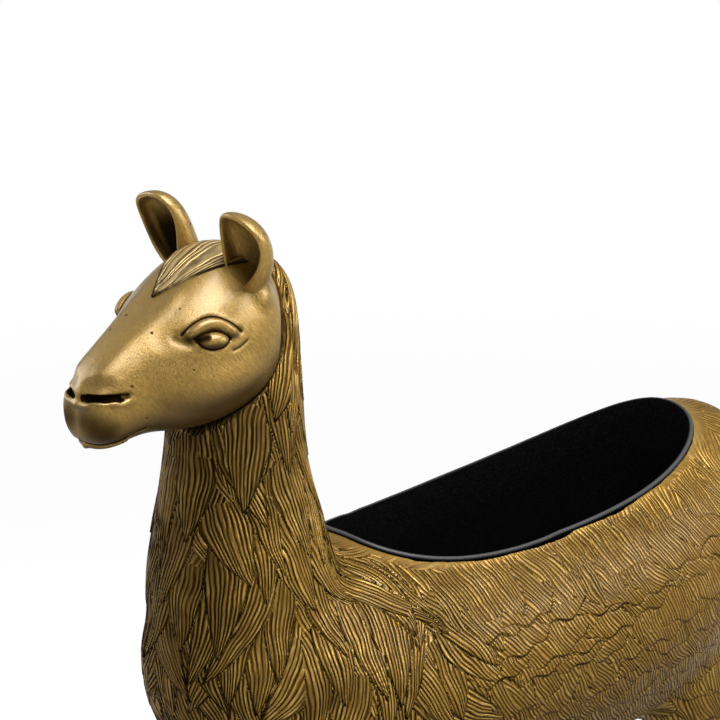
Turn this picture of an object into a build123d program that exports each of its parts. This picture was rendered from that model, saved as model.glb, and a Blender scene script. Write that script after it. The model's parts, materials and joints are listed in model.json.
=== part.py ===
"""Standing llama planter: a hollow resin figure with a lift-out plant liner in its back.

The animal faces -X and stands on Z = 0, with its left side towards -Y.
The torso is a hollow casting. The neck, head, ears, legs and tail are bonded to it on spigots and dowels.
All lengths are in millimetres.
"""

import math
import os

from build123d import *

# Torso casting
torso_length = 389.0
torso_width = 152.0
torso_depth = 162.0
belly_height = 176.0
shell_wall = 6.0

# Neck casting
neck_length = 194.0
neck_depth = 67.0
neck_width = 59.0
neck_wall = 8.0
spigot_length = 52.0
spigot_width = 42.0
spigot_reach = 10.0
spigot_clearance = 0.3

# Head casting
head_length = 100.0
head_height = 81.0
head_width = 66.0
head_seat = 13.0
jaw_rise = 116.0
eye_length = 18.0
eye_height = 9.0
eye_bulge = 1.6
nostril_length = 17.0
nostril_height = 2.6
nostril_depth = 3.5
nostril_bridge = 8.0
mouth_length = 29.0
mouth_height = 1.2
mouth_depth = 2.0

# Ears
ear_length = 42.0
ear_width = 25.0
ear_depth = 19.0
ear_wall = 2.4
ear_cup_lead = 6.0
ear_peg_diameter = 6.0
ear_peg_length = 16.0
ear_lean = 16.0
ear_splay = 14.0
ear_turn = 4.0

# Legs
leg_rise = 256.0
leg_depth = 60.0
leg_width = 44.0
front_leg_inset = 40.0
rear_leg_inset = 38.0
toe_gap = 3.0
toe_length = 15.0
toe_height = 13.0

# Tail
tail_length = 74.0
tail_thickness = 27.0
tail_peg_diameter = 9.0
tail_peg_length = 32.0

# Steel dowels across the bonded joints
leg_dowel_diameter = 10.0
leg_dowel_length = 54.0
leg_boss_diameter = 22.0
leg_boss_height = 24.0
head_dowel_diameter = 8.0
head_dowel_length = 44.0
dowel_clearance = 0.1

# Felt foot pads
pad_length = 30.0
pad_width = 23.0
pad_thickness = 2.0

# Plant liner and the opening that it hangs in
opening_length = 226.0
opening_width = 93.0
liner_clearance = 1.0
liner_wall = 2.0
liner_depth = 106.0
lip_overlap = 2.6
lip_thickness = 3.0
lip_gap = 0.3

# Bonded faces stand this far apart, and cuts run this far past what they cut
glue_gap = 0.15
overrun = 40.0

# Stations of the torso from chest to rump: place along the length, width, top and bottom above the belly
torso_station_shares = [
    (0.000, 0.13, 0.745, 0.600),
    (0.010, 0.29, 0.825, 0.490),
    (0.039, 0.45, 0.895, 0.340),
    (0.085, 0.61, 0.932, 0.205),
    (0.167, 0.78, 0.919, 0.100),
    (0.290, 0.92, 0.901, 0.034),
    (0.470, 1.00, 0.926, 0.000),
    (0.663, 1.00, 0.969, 0.000),
    (0.817, 0.92, 1.000, 0.065),
    (0.920, 0.74, 0.995, 0.215),
    (0.977, 0.47, 0.925, 0.416),
    (1.000, 0.16, 0.790, 0.600),
]

# Stations of the neck from inside the torso to the poll: height, shift towards the tail, depth and width
neck_station_shares = [
    (0.000, 0.16, 1.19, 1.15),
    (0.115, 0.08, 1.40, 1.40),
    (0.245, 0.045, 1.32, 1.37),
    (0.385, 0.02, 1.15, 1.17),
    (0.525, 0.01, 1.02, 1.01),
    (0.670, 0.02, 0.97, 0.98),
    (0.810, 0.03, 0.90, 0.90),
    (0.910, 0.06, 0.75, 0.77),
    (0.975, 0.09, 0.43, 0.46),
    (1.000, 0.10, 0.15, 0.16),
]

# Stations of the head from its seat in the neck to the nose: place along the length, width, top and bottom
head_station_shares = [
    (0.000, 0.58, 0.865, 0.320),
    (0.080, 0.85, 0.950, 0.150),
    (0.210, 0.98, 1.000, 0.060),
    (0.380, 1.00, 0.938, 0.030),
    (0.550, 0.91, 0.800, 0.035),
    (0.710, 0.66, 0.668, 0.050),
    (0.840, 0.53, 0.562, 0.024),
    (0.940, 0.46, 0.463, 0.034),
    (0.985, 0.37, 0.392, 0.075),
    (1.000, 0.22, 0.325, 0.130),
]

# Stations of an ear from its root to its tip: rise, forward curl, width and depth
ear_station_shares = [
    (-0.20, 0.00, 0.66, 0.80),
    (0.05, 0.00, 0.82, 0.95),
    (0.35, 0.01, 1.00, 1.00),
    (0.62, 0.03, 0.97, 0.90),
    (0.86, 0.09, 0.74, 0.66),
    (1.00, 0.15, 0.36, 0.34),
]
ear_cup_floor_share = 0.30

# Stations of the legs from sole to the root inside the torso: height, shift towards the tail, inward shift,
# depth and width
front_leg_station_shares = [
    (0.000, -0.05, 0.00, 0.62, 0.66),
    (0.042, -0.05, 0.00, 0.63, 0.70),
    (0.088, 0.00, 0.00, 0.48, 0.59),
    (0.150, 0.00, 0.00, 0.38, 0.50),
    (0.285, 0.00, 0.00, 0.38, 0.48),
    (0.400, -0.02, 0.00, 0.47, 0.57),
    (0.515, 0.00, 0.00, 0.52, 0.62),
    (0.650, 0.03, 0.00, 0.74, 0.82),
    (0.780, 0.05, 0.00, 0.96, 1.00),
    (0.880, 0.05, 0.08, 0.90, 0.92),
    (0.960, 0.05, 0.24, 0.60, 0.60),
    (1.000, 0.05, 0.32, 0.24, 0.24),
]
rear_leg_station_shares = [
    (0.000, -0.03, 0.00, 0.62, 0.66),
    (0.042, -0.03, 0.00, 0.63, 0.70),
    (0.088, 0.02, 0.00, 0.48, 0.59),
    (0.150, 0.05, 0.00, 0.38, 0.50),
    (0.285, 0.11, 0.00, 0.39, 0.48),
    (0.400, 0.19, 0.00, 0.49, 0.57),
    (0.515, 0.11, 0.00, 0.60, 0.64),
    (0.650, -0.04, 0.00, 0.94, 0.86),
    (0.780, -0.13, 0.00, 1.22, 1.06),
    (0.880, -0.15, 0.08, 1.20, 1.00),
    (0.960, -0.15, 0.26, 0.80, 0.66),
    (1.000, -0.15, 0.36, 0.30, 0.26),
]

# Stations of the tail from inside the rump to its tip: run along the tail, drop, and thickness
tail_station_shares = [
    (0.00, 0.00, 0.80),
    (0.16, 0.00, 0.90),
    (0.30, 0.10, 1.00),
    (0.41, 0.34, 0.98),
    (0.44, 0.66, 0.80),
    (0.42, 0.90, 0.48),
    (0.40, 1.00, 0.20),
]

# Where the pieces sit on the torso, head and one another
neck_station_share = 0.1105
neck_seat_share = 0.654
spigot_shift_share = 0.12
front_leg_share = 0.157
rear_leg_share = 0.843
tail_root_share = 0.972
tail_height_share = 0.752
tail_bulge_share = 0.40
opening_centre_share = 0.578
liner_floor_length_share = 0.80
liner_floor_width_share = 0.70
ear_root_along_share = 0.19
ear_root_across_share = 0.68
ear_root_height_share = 0.80
eye_along_share = 0.50
eye_height_share = 0.64
nostril_height_share = 0.335
mouth_height_share = 0.092
head_dowel_height_share = 0.52
head_dowel_split_share = 0.40
leg_dowel_split_share = 0.45

# Cross-sections are superellipses: 2 is an ellipse, more is squarer
round_power = 2.0
head_power = 2.3
opening_power = 2.5
section_points = 16

# The middle of the figure's length, from nose to tail, is at X = 0
neck_from_chest = neck_station_share * torso_length
nose_reach = head_length - head_seat
tail_run = max(row[0] for row in tail_station_shares) * tail_length
tail_reach = tail_root_share * torso_length - neck_from_chest + tail_run + tail_bulge_share * tail_thickness
neck_x = (nose_reach - tail_reach) / 2
chest_x = neck_x - neck_from_chest
neck_base = belly_height + neck_seat_share * torso_depth
head_back_x = neck_x + head_seat
jaw_height = neck_base + jaw_rise
torso_mid = Vector(chest_x + torso_length / 2, 0, belly_height + torso_depth / 2)
opening_x = chest_x + opening_centre_share * torso_length
back_height = belly_height + torso_depth
liner_floor = back_height - liner_depth
sides = {"left": -1, "right": 1}


def oval(centre, across, up, half_across, half_up, power=round_power):
    """A superellipse face about a centre, spanned by two unit vectors, always started at the same place."""
    points = []
    for i in range(section_points):
        turn = 2 * math.pi * i / section_points
        a, b = math.cos(turn), math.sin(turn)
        a = math.copysign(abs(a) ** (2 / power), a) * half_across
        b = math.copysign(abs(b) ** (2 / power), b) * half_up
        points.append(Vector(centre) + Vector(across) * a + Vector(up) * b)
    return Face(Wire([Edge.make_spline(points, periodic=True)]))


def flat_oval(x, z, length, width, power=round_power):
    """A level superellipse face on the middle plane."""
    return oval((x, 0, z), (1, 0, 0), (0, 1, 0), length / 2, width / 2, power)


def torso_form(grow=0.0):
    """The torso's outer form, grown by an amount on every side."""
    length, width, depth = (size + 2 * grow for size in (torso_length, torso_width, torso_depth))
    start, low = torso_mid.X - length / 2, torso_mid.Z - depth / 2
    sections = []
    for along, wide, top, bottom in torso_station_shares:
        middle, half = (top + bottom) / 2 * depth, (top - bottom) / 2 * depth
        centre = (start + along * length, 0, low + middle)
        sections.append(oval(centre, (0, 1, 0), (0, 0, 1), wide * width / 2, half))
    return loft(sections)


def neck_form(grow=0.0):
    """The neck's outer form, a column that flares into the shoulders and rounds off at the poll."""
    sections = []
    for rise, shift, deep, wide in neck_station_shares:
        centre = (neck_x + shift * neck_depth, 0, neck_base + rise * neck_length)
        half_deep, half_wide = deep * neck_depth / 2 + grow, wide * neck_width / 2 + grow
        sections.append(oval(centre, (1, 0, 0), (0, 1, 0), half_deep, half_wide))
    return loft(sections)


def head_form(grow=0.0):
    """The head's outer form, from the seat in the neck to the nose."""
    sections = []
    for along, wide, top, bottom in head_station_shares:
        middle, half = (top + bottom) / 2 * head_height, (top - bottom) / 2 * head_height
        x = head_back_x + grow - along * (head_length + 2 * grow)
        sections.append(oval((x, 0, jaw_height + middle), (0, 1, 0), (0, 0, 1),
                             wide * head_width / 2 + grow, half + grow, head_power))
    return loft(sections)


def spigot(grow=0.0):
    """The oval spigot under the neck, which passes through the torso's wall."""
    x = neck_x + spigot_shift_share * neck_depth
    foot = neck_base + neck_length * neck_station_shares[1][0] - spigot_reach
    face = flat_oval(x, foot - grow, spigot_length + 2 * grow, spigot_width + 2 * grow)
    return extrude(face, neck_length * neck_station_shares[2][0] + spigot_reach, dir=(0, 0, 1))


def neck_bore():
    """The hollow up through the spigot and the neck."""
    x = neck_x + spigot_shift_share * neck_depth
    foot = neck_base + neck_length * neck_station_shares[1][0] - spigot_reach
    crown = neck_base + neck_length * neck_station_shares[4][0]
    low = flat_oval(x, foot - overrun, spigot_length - 2 * neck_wall, spigot_width - 2 * neck_wall)
    high = flat_oval(neck_x, crown, neck_depth - 4 * neck_wall, neck_width - 4 * neck_wall)
    return loft([low, high])


def dowel(start, direction, diameter, length):
    """A round pin from a start point along a direction."""
    return Plane(origin=start, z_dir=direction) * Cylinder(
        diameter / 2, length, align=(Align.CENTER, Align.CENTER, Align.MIN))


def head_dowel(clearance=0.0):
    """The steel pin between neck and head, level and on the middle plane."""
    rear = head_back_x + head_dowel_split_share * head_dowel_length + clearance
    start = (rear, 0, jaw_height + head_dowel_height_share * head_height)
    return dowel(start, (-1, 0, 0), head_dowel_diameter + 2 * clearance, head_dowel_length + 2 * clearance)


def leg_place(end, side):
    """The point on the ground under a leg."""
    along, inset = (front_leg_share, front_leg_inset) if end == "front" else (rear_leg_share, rear_leg_inset)
    return Vector(chest_x + along * torso_length, sides[side] * (torso_width / 2 - inset), 0)


def leg_joint_height(end):
    """The height where a leg's middle line meets the torso's outer form."""
    place = leg_place(end, "right")
    ring = Pos(place.X, place.Y, 0) * Circle(leg_dowel_diameter / 2)
    pole = extrude(ring, belly_height + torso_depth / 2, dir=(0, 0, 1))
    return (pole & torso_form()).bounding_box().min.Z


def leg_dowel(end, side, clearance=0.0):
    """The steel pin between a leg and its boss inside the torso."""
    place = leg_place(end, side)
    foot = joint_heights[end] - (1 - leg_dowel_split_share) * leg_dowel_length - clearance
    return dowel((place.X, place.Y, foot), (0, 0, 1), leg_dowel_diameter + 2 * clearance,
                 leg_dowel_length + 2 * clearance)


def leg_boss(end, side):
    """The post that thickens the torso's floor over a leg."""
    place = leg_place(end, side)
    foot = joint_heights[end] - leg_boss_diameter
    return dowel((place.X, place.Y, foot), (0, 0, 1), leg_boss_diameter, leg_boss_diameter + leg_boss_height)


def tail_peg(clearance=0.0):
    """The peg that carries the tail in the rump."""
    x = chest_x + tail_root_share * torso_length - tail_peg_length / 2 - clearance
    z = belly_height + tail_height_share * torso_depth
    return dowel((x, 0, z), (1, 0, 0), tail_peg_diameter + 2 * clearance, tail_peg_length + 2 * clearance)


def opening_prism(length, width):
    """The upright oval cutter for the opening in the back."""
    face = flat_oval(opening_x, torso_mid.Z, length, width, opening_power)
    return extrude(face, torso_depth / 2 + overrun, dir=(0, 0, 1))


def make_torso_shell():
    """The hollow body casting, open at the back, with a port for the neck and bosses for the legs."""
    outer = torso_form()
    shell = outer - torso_form(-shell_wall)
    for end in joint_heights:
        for side in sides:
            shell = shell + (leg_boss(end, side) & outer)
    shell = shell - opening_prism(opening_length, opening_width) - spigot(spigot_clearance)
    for end in joint_heights:
        for side in sides:
            shell = shell - leg_dowel(end, side, dowel_clearance)
    return shell - tail_peg(dowel_clearance)


def make_neck():
    """The neck casting: it sits on the torso, cups the back of the head and is hollow up to the throat."""
    column = neck_form() - torso_form(glue_gap) - head_form(glue_gap)
    return column + (spigot() & neck_form()) - neck_bore() - head_dowel(dowel_clearance)


def ear_frame(side):
    """An ear's root point and its rise, facing and across directions."""
    sign = sides[side]
    root = Vector(head_back_x - ear_root_along_share * head_length,
                  sign * ear_root_across_share * head_width / 2,
                  jaw_height + ear_root_height_share * head_height)
    lean, splay, turn = (math.radians(angle) for angle in (ear_lean, ear_splay, ear_turn))
    rise = Vector(-math.sin(lean), sign * math.sin(splay), math.cos(lean)).normalized()
    facing = Vector(-math.cos(turn), sign * math.sin(turn), 0)
    facing = (facing - rise * facing.dot(rise)).normalized()
    return root, rise, facing, rise.cross(facing)


def ear_solid(side, width, depth, lead, lowest):
    """The loft of an ear's stations above a share of its rise, moved forward by a lead."""
    root, rise, facing, across = ear_frame(side)
    sections = []
    for up, curl, wide, deep in ear_station_shares:
        if up < lowest:
            continue
        centre = root + rise * (up * ear_length) + facing * (curl * ear_length + lead)
        sections.append(oval(centre, across, facing, wide * width / 2, deep * depth / 2))
    return loft(sections)


def ear_peg(side, clearance=0.0):
    """The peg that carries an ear in the head."""
    root, rise, facing, across = ear_frame(side)
    length = ear_peg_length + ear_cup_floor_share * ear_length / 2
    return dowel(root - rise * (ear_peg_length + clearance), rise, ear_peg_diameter + 2 * clearance,
                 length + 2 * clearance)


def make_ear(side):
    """A cupped ear, cut to sit on the head, with its peg."""
    outer = ear_solid(side, ear_width, ear_depth, 0, ear_station_shares[0][0])
    cup = ear_solid(side, ear_width - 2 * ear_wall, ear_depth, ear_cup_lead, ear_cup_floor_share)
    return outer - head_form(glue_gap) - cup + ear_peg(side)


def eye(side):
    """A low almond swelling that follows the side of the head."""
    x = head_back_x - eye_along_share * head_length
    z = jaw_height + eye_height_share * head_height
    outline = oval((x, 0, z), (1, 0, 0), (0, 0, 1), eye_length / 2, eye_height / 2)
    return extrude(outline, head_width, dir=(0, sides[side], 0)) & head_form(eye_bulge)


def muzzle_groove(height_share, length, height, depth, bridge):
    """A level groove round the muzzle, as long as given from the nose back, broken by a bridge in front."""
    nose_x = head_back_x - head_length
    band = Pos(nose_x, 0, jaw_height + height_share * head_height) * Box(2 * length, head_width, height)
    if bridge:
        band = band - Pos(nose_x, 0, jaw_height) * Box(2 * length, bridge, 2 * head_height)
    return band & (head_form() - head_form(-depth))


def make_head():
    """The head casting with eyes, nostrils and mouth, sockets for the ears and a hole for the dowel."""
    head = head_form()
    for side in sides:
        head = head + eye(side) - ear_peg(side, dowel_clearance)
    nostrils = muzzle_groove(nostril_height_share, nostril_length, nostril_height, nostril_depth,
                             nostril_bridge)
    mouth = muzzle_groove(mouth_height_share, mouth_length, mouth_height, mouth_depth, 0)
    return head - nostrils - mouth - head_dowel(dowel_clearance)


def make_leg(end, side):
    """A leg with a cloven foot, cut to sit under the torso."""
    place = leg_place(end, side)
    rows = {"front": front_leg_station_shares, "rear": rear_leg_station_shares}[end]
    sections = []
    for rise, shift, inward, deep, wide in rows:
        centre = (place.X + shift * leg_depth, place.Y - sides[side] * inward * leg_width,
                  pad_thickness + rise * leg_rise)
        sections.append(oval(centre, (1, 0, 0), (0, 1, 0), deep * leg_depth / 2, wide * leg_width / 2))
    leg = loft(sections) - torso_form(glue_gap)
    leg = max(leg.solids(), key=lambda solid: solid.volume)
    toe_tip = place.X + (rows[0][1] - rows[0][3] / 2) * leg_depth
    cleft = Pos(toe_tip, place.Y, pad_thickness) * Box(2 * toe_length, toe_gap, 2 * toe_height)
    return leg - cleft - leg_dowel(end, side, dowel_clearance)


def make_tail():
    """A short hanging tail, cut to sit on the rump, with its peg."""
    root = Vector(chest_x + tail_root_share * torso_length, 0,
                  belly_height + tail_height_share * torso_depth)
    spine = [root + Vector(run, 0, -drop) * tail_length for run, drop, thick in tail_station_shares]
    sections = []
    for i, (run, drop, thick) in enumerate(tail_station_shares):
        ahead = spine[min(i + 1, len(spine) - 1)] - spine[max(i - 1, 0)]
        up = Vector(0, 1, 0).cross(ahead.normalized())
        half = thick * tail_thickness / 2
        sections.append(oval(spine[i], (0, 1, 0), up, half, half))
    tail = loft(sections) - torso_form(glue_gap)
    return max(tail.solids(), key=lambda solid: solid.volume) + tail_peg()


def make_pad(end, side):
    """A felt pad under a foot, clear of the cleft between its toes."""
    place = leg_place(end, side)
    rows = {"front": front_leg_station_shares, "rear": rear_leg_station_shares}[end]
    centre = (place.X + rows[0][1] * leg_depth, place.Y, 0)
    face = oval(centre, (1, 0, 0), (0, 1, 0), pad_length / 2, pad_width / 2)
    return extrude(face, pad_thickness, dir=(0, 0, 1))


def liner_tub(inset):
    """The liner's tapered oval tub, set in from its outer faces by an amount."""
    top = back_height + 2 * (lip_gap + lip_thickness)
    rim_length, rim_width = opening_length - 2 * liner_clearance, opening_width - 2 * liner_clearance
    floor_length, floor_width = rim_length * liner_floor_length_share, rim_width * liner_floor_width_share
    levels = [(liner_floor + inset, floor_length, floor_width), (top, rim_length, rim_width)]
    return loft([flat_oval(opening_x, z, length - 2 * inset, width - 2 * inset, opening_power)
                 for z, length, width in levels])


def make_liner():
    """The plant liner: a tapered tub whose rolled lip follows the back around the opening."""
    lid = torso_form(lip_gap + lip_thickness)
    lip = opening_prism(opening_length + 2 * lip_overlap, opening_width + 2 * lip_overlap) & lid
    lip = lip - torso_form(lip_gap)
    return (liner_tub(0) & lid) + lip - liner_tub(liner_wall)


def save(name, shape):
    """Write one piece and print its solids and volume."""
    export_step(shape, os.path.join("parts", name + ".step"))
    print(name, len(shape.solids()), round(shape.volume))


os.makedirs("parts", exist_ok=True)
joint_heights = {end: leg_joint_height(end) for end in ("front", "rear")}
save("torso_shell", make_torso_shell())
save("neck", make_neck())
save("head", make_head())
save("head_dowel", head_dowel())
save("tail", make_tail())
save("planter_liner", make_liner())
for side in sides:
    save(side + "_ear", make_ear(side))
    for end in joint_heights:
        save(f"{end}_{side}_leg", make_leg(end, side))
        save(f"{end}_{side}_leg_dowel", leg_dowel(end, side))
        save(f"{end}_{side}_foot_pad", make_pad(end, side))
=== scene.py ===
"""Dresses the llama planter: carved fleece, brushed face, cupped ears, black liner and studio stage.

The figure faces -X and stands on Z = 0, in metres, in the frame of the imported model.
"""

import json
import math
import random

import bmesh
import bpy
import numpy as np
from bpy.props import FloatProperty, FloatVectorProperty, IntProperty, PointerProperty
from mathutils import Euler, Matrix, Vector
from mathutils.bvhtree import BVHTree
from mathutils.kdtree import KDTree

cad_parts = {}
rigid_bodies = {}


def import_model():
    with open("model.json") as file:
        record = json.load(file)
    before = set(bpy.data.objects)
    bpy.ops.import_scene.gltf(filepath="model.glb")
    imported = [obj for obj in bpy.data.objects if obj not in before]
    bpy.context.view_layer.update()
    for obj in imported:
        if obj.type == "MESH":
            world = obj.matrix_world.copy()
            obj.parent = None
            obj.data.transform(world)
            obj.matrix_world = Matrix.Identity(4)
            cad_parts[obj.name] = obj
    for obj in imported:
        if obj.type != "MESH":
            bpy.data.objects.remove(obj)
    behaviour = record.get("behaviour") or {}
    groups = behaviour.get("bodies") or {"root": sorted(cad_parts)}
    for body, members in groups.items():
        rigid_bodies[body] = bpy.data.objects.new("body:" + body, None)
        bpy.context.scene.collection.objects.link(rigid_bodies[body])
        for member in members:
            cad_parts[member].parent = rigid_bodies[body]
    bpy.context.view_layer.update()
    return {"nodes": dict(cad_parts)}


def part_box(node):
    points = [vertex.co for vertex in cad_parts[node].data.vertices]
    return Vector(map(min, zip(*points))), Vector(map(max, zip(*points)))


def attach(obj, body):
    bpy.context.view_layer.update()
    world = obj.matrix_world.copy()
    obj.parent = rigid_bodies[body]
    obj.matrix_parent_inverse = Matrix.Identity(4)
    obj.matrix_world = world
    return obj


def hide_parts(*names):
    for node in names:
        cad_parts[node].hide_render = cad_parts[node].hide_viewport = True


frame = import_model()

bl_info = {
    "name": "Llama planter",
    "version": (1, 0, 0),
    "blender": (4, 5, 0),
    "location": "View3D > Sidebar > Planter",
    "description": "Carved fleece, brushed face, cupped ears, black liner and stage of a llama planter",
    "category": "Object",
}

MM = 0.001
FIGURE = "figure"
LINER = "liner"
SIDES = {"left": -1, "right": 1}
LEGS = ["front_left_leg", "front_right_leg", "rear_left_leg", "rear_right_leg"]
SKIN_NODES = ["torso_shell", "neck", "tail", *LEGS]

# The face is measured from a mark on the neck's axis, under the jaw
head_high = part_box("head")[1]
NECK_X = head_high.x - 13 * MM
JAW_MARK = head_high.z - 85 * MM
torso_low, torso_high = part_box("torso_shell")
liner_low, liner_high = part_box("planter_liner")
tail_low, tail_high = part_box("tail")
OPENING_X = (liner_low.x + liner_high.x) / 2
LIP_OVERLAP = 2.6 * MM
OPENING_HALF = ((liner_high.x - liner_low.x) / 2 - LIP_OVERLAP,
                (liner_high.y - liner_low.y) / 2 - LIP_OVERLAP)
OPENING_POWER = 2.5

# Where the neck, the legs and the tail leave the trunk
BACK_TOP = torso_high.z + 2 * MM
NECK_BACK = NECK_X + 56 * MM
NECK_BOTTOM = torso_high.z - 22 * MM
LEG_TOP = torso_low.z + 12 * MM
TAIL_FRONT = torso_high.x - 3 * MM

# Faces below this height that look down are the belly
BELLY_TOP = torso_low.z + 14 * MM
BELLY_TILT = -0.3
OUTWARD = 0.15

# Fewer inner faces than this are a nook of the outside, and the lining lies a little under the fleece
SMALLEST_LINING = 600
LINING_SINK = 0.25 * MM

# A lock value past 1 marks the forelock
FORELOCK_MARK = 2.0


class FleeceSettings(bpy.types.PropertyGroup):
    """Sizes of the carved fleece."""

    skin_voxel: FloatProperty(
        name="Skin voxel", description="Mesh size of the casting under the fleece",
        default=3.0 * MM, unit="LENGTH")
    neck_lock_length: FloatProperty(
        name="Neck lock length", description="Length of a pointed lock on the neck",
        default=46 * MM, unit="LENGTH")
    neck_lock_width: FloatProperty(
        name="Neck lock width", description="Width of a pointed lock on the neck",
        default=22 * MM, unit="LENGTH")
    flank_lock_length: FloatProperty(
        name="Flank lock length", description="Length of a blunt lock on the flank",
        default=34 * MM, unit="LENGTH")
    flank_lock_width: FloatProperty(
        name="Flank lock width", description="Width of a blunt lock on the flank",
        default=24 * MM, unit="LENGTH")
    row_pitch: FloatProperty(
        name="Row pitch", description="Between the rows of locks on the flank",
        default=15 * MM, unit="LENGTH")
    row_lock_spacing: FloatProperty(
        name="Row lock spacing", description="Between locks along a row", default=21 * MM, unit="LENGTH")
    leg_lock_length: FloatProperty(
        name="Leg lock length", description="Length of a lock on the legs and tail",
        default=36 * MM, unit="LENGTH")
    leg_lock_width: FloatProperty(
        name="Leg lock width", description="Width of a lock on the legs and tail",
        default=17 * MM, unit="LENGTH")
    lift: FloatProperty(
        name="Lift", description="How far a lock's tip stands over the next lock",
        default=1.7 * MM, unit="LENGTH")
    strand_width: FloatProperty(
        name="Strand width", description="From groove to groove", default=2.4 * MM, unit="LENGTH")
    strand_height: FloatProperty(
        name="Strand height", description="From groove to ridge", default=0.45 * MM, unit="LENGTH")
    seed: IntProperty(name="Seed", description="Lays the locks out differently", default=11)


class FaceSettings(bpy.types.PropertyGroup):
    """Sizes of the head and the ears."""

    head_voxel: FloatProperty(
        name="Head voxel", description="Mesh size of the sculpted head", default=0.65 * MM, unit="LENGTH")
    forelock_length: FloatProperty(
        name="Forelock length", description="From the poll to its point", default=56 * MM, unit="LENGTH")
    forelock_width: FloatProperty(
        name="Forelock width", description="Across the poll", default=44 * MM, unit="LENGTH")
    ear_thickness: FloatProperty(
        name="Ear thickness", description="Wall of the cupped ears", default=2.3 * MM, unit="LENGTH")
    ear_length: FloatProperty(
        name="Ear length", description="From root to tip", default=39.5 * MM, unit="LENGTH")
    ear_width: FloatProperty(
        name="Ear width", description="Across the cup", default=28.5 * MM, unit="LENGTH")
    ear_depth: FloatProperty(
        name="Ear depth", description="From the back to the rim", default=19.5 * MM, unit="LENGTH")
    ear_lean: FloatProperty(
        name="Ear lean", description="Forward lean", default=math.radians(16), subtype="ANGLE")
    ear_splay: FloatProperty(
        name="Ear splay", description="Outward lean", default=math.radians(14), subtype="ANGLE")
    ear_turn: FloatProperty(
        name="Ear turn", description="How far the cup faces outward",
        default=math.radians(4), subtype="ANGLE")


class FinishSettings(bpy.types.PropertyGroup):
    """Colours of the finishes."""

    gold: FloatVectorProperty(
        name="Gold", description="Antique gold of the worn ridges", subtype="COLOR", size=3,
        default=(0.50, 0.325, 0.085))
    deep_gold: FloatVectorProperty(
        name="Deep gold", description="Browner gold beside the ridges", subtype="COLOR", size=3,
        default=(0.25, 0.130, 0.016))
    bright_gold: FloatVectorProperty(
        name="Bright gold", description="Brushed gold of the face", subtype="COLOR", size=3,
        default=(0.39, 0.24, 0.056))
    cream_gold: FloatVectorProperty(
        name="Cream gold", description="Worn gold of the forelock", subtype="COLOR", size=3,
        default=(0.60, 0.45, 0.22))
    # Dark of the patina in the grooves, used for painted shade as well
    patina: FloatVectorProperty(
        name="Patina", description="Dark wash in the grooves", subtype="COLOR", size=3,
        default=(0.010, 0.0045, 0.0008))
    liner_black: FloatVectorProperty(
        name="Liner black", description="Black of the liner", subtype="COLOR", size=3,
        default=(0.0015, 0.0015, 0.0017))
    # Grey of the painted highlight along the top of the liner's lip
    lip_grey: FloatVectorProperty(
        name="Lip grey", description="Worn top of the liner's lip", subtype="COLOR", size=3,
        default=(0.055, 0.055, 0.056))
    felt: FloatVectorProperty(
        name="Felt", description="Dark felt of the foot pads", subtype="COLOR", size=3,
        default=(0.045, 0.040, 0.036))
    steel: FloatVectorProperty(
        name="Steel", description="Plain steel of the dowels", subtype="COLOR", size=3,
        default=(0.52, 0.52, 0.53))


class StageSettings(bpy.types.PropertyGroup):
    """Camera and light."""

    azimuth: FloatProperty(
        name="Azimuth", description="Camera's turn about the figure",
        default=math.radians(-42), subtype="ANGLE")
    pitch: FloatProperty(
        name="Pitch", description="Camera's tilt below the horizon",
        default=math.radians(17), subtype="ANGLE")
    lens: FloatProperty(name="Lens", description="Focal length in millimetres", default=137.5)
    camera_offset: FloatVectorProperty(
        name="Camera offset", description="Camera's place from the mark under the jaw",
        subtype="TRANSLATION", size=3,
        default=(-0.7515, -0.9208, 0.3924))
    key_power: FloatProperty(
        name="Key light", description="Power of the soft top light", default=38, unit="POWER")
    side_power: FloatProperty(
        name="Side light", description="Power of the soft side light", default=18, unit="POWER")
    rim_power: FloatProperty(
        name="Rim light", description="Power of the light behind", default=9, unit="POWER")
    surround: FloatProperty(name="Surround", description="Brightness of the room", default=0.22)


# Small helpers

def face_point(x, y, z):
    """A point given in millimetres from the mark under the jaw."""
    return Vector((NECK_X + x * MM, y * MM, JAW_MARK + z * MM))


def smooth(low, high, value):
    """0 below low, 1 above high, and a soft step between them."""
    share = min(1.0, max(0.0, (value - low) / (high - low)))
    return share * share * (3 - 2 * share)


def add_object(name, mesh, material, body, nodes=()):
    """Link a finished mesh as a piece that rides on a body and stands for CAD nodes."""
    piece = bpy.data.objects.new(name, mesh)
    bpy.context.scene.collection.objects.link(piece)
    mesh.materials.clear()
    mesh.materials.append(material)
    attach(piece, body)
    if nodes:
        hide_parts(*nodes)
    return piece


def mesh_from(bm, name):
    """Turn a bmesh into a smooth-shaded mesh."""
    mesh = bpy.data.meshes.new(name)
    for face in bm.faces:
        face.smooth = True
    bm.to_mesh(mesh)
    bm.free()
    return mesh


def casting_mesh(name, nodes, voxel, rounds, mounds=()):
    """Copies of CAD nodes, with any mounds, cast into one skin: merged, remeshed and smoothed."""
    bm = bmesh.new()
    for place, radius in mounds:
        bmesh.ops.create_icosphere(bm, subdivisions=3, radius=radius, matrix=Matrix.Translation(place))
    for node in nodes:
        bm.from_mesh(frame["nodes"][node].data)
    bmesh.ops.remove_doubles(bm, verts=bm.verts, dist=0.002 * MM)
    mesh = mesh_from(bm, name)
    rough = bpy.data.objects.new(name, mesh)
    bpy.context.scene.collection.objects.link(rough)
    remesh = rough.modifiers.new("Cast", "REMESH")
    remesh.mode = "VOXEL"
    remesh.voxel_size = voxel
    relax = rough.modifiers.new("Relax", "SMOOTH")
    relax.factor = 0.5
    relax.iterations = rounds
    graph = bpy.context.evaluated_depsgraph_get()
    cast = bpy.data.meshes.new_from_object(rough.evaluated_get(graph))
    bpy.data.objects.remove(rough)
    cast.name = name
    cast.polygons.foreach_set("use_smooth", [True] * len(cast.polygons))
    return cast


# Materials

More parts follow.
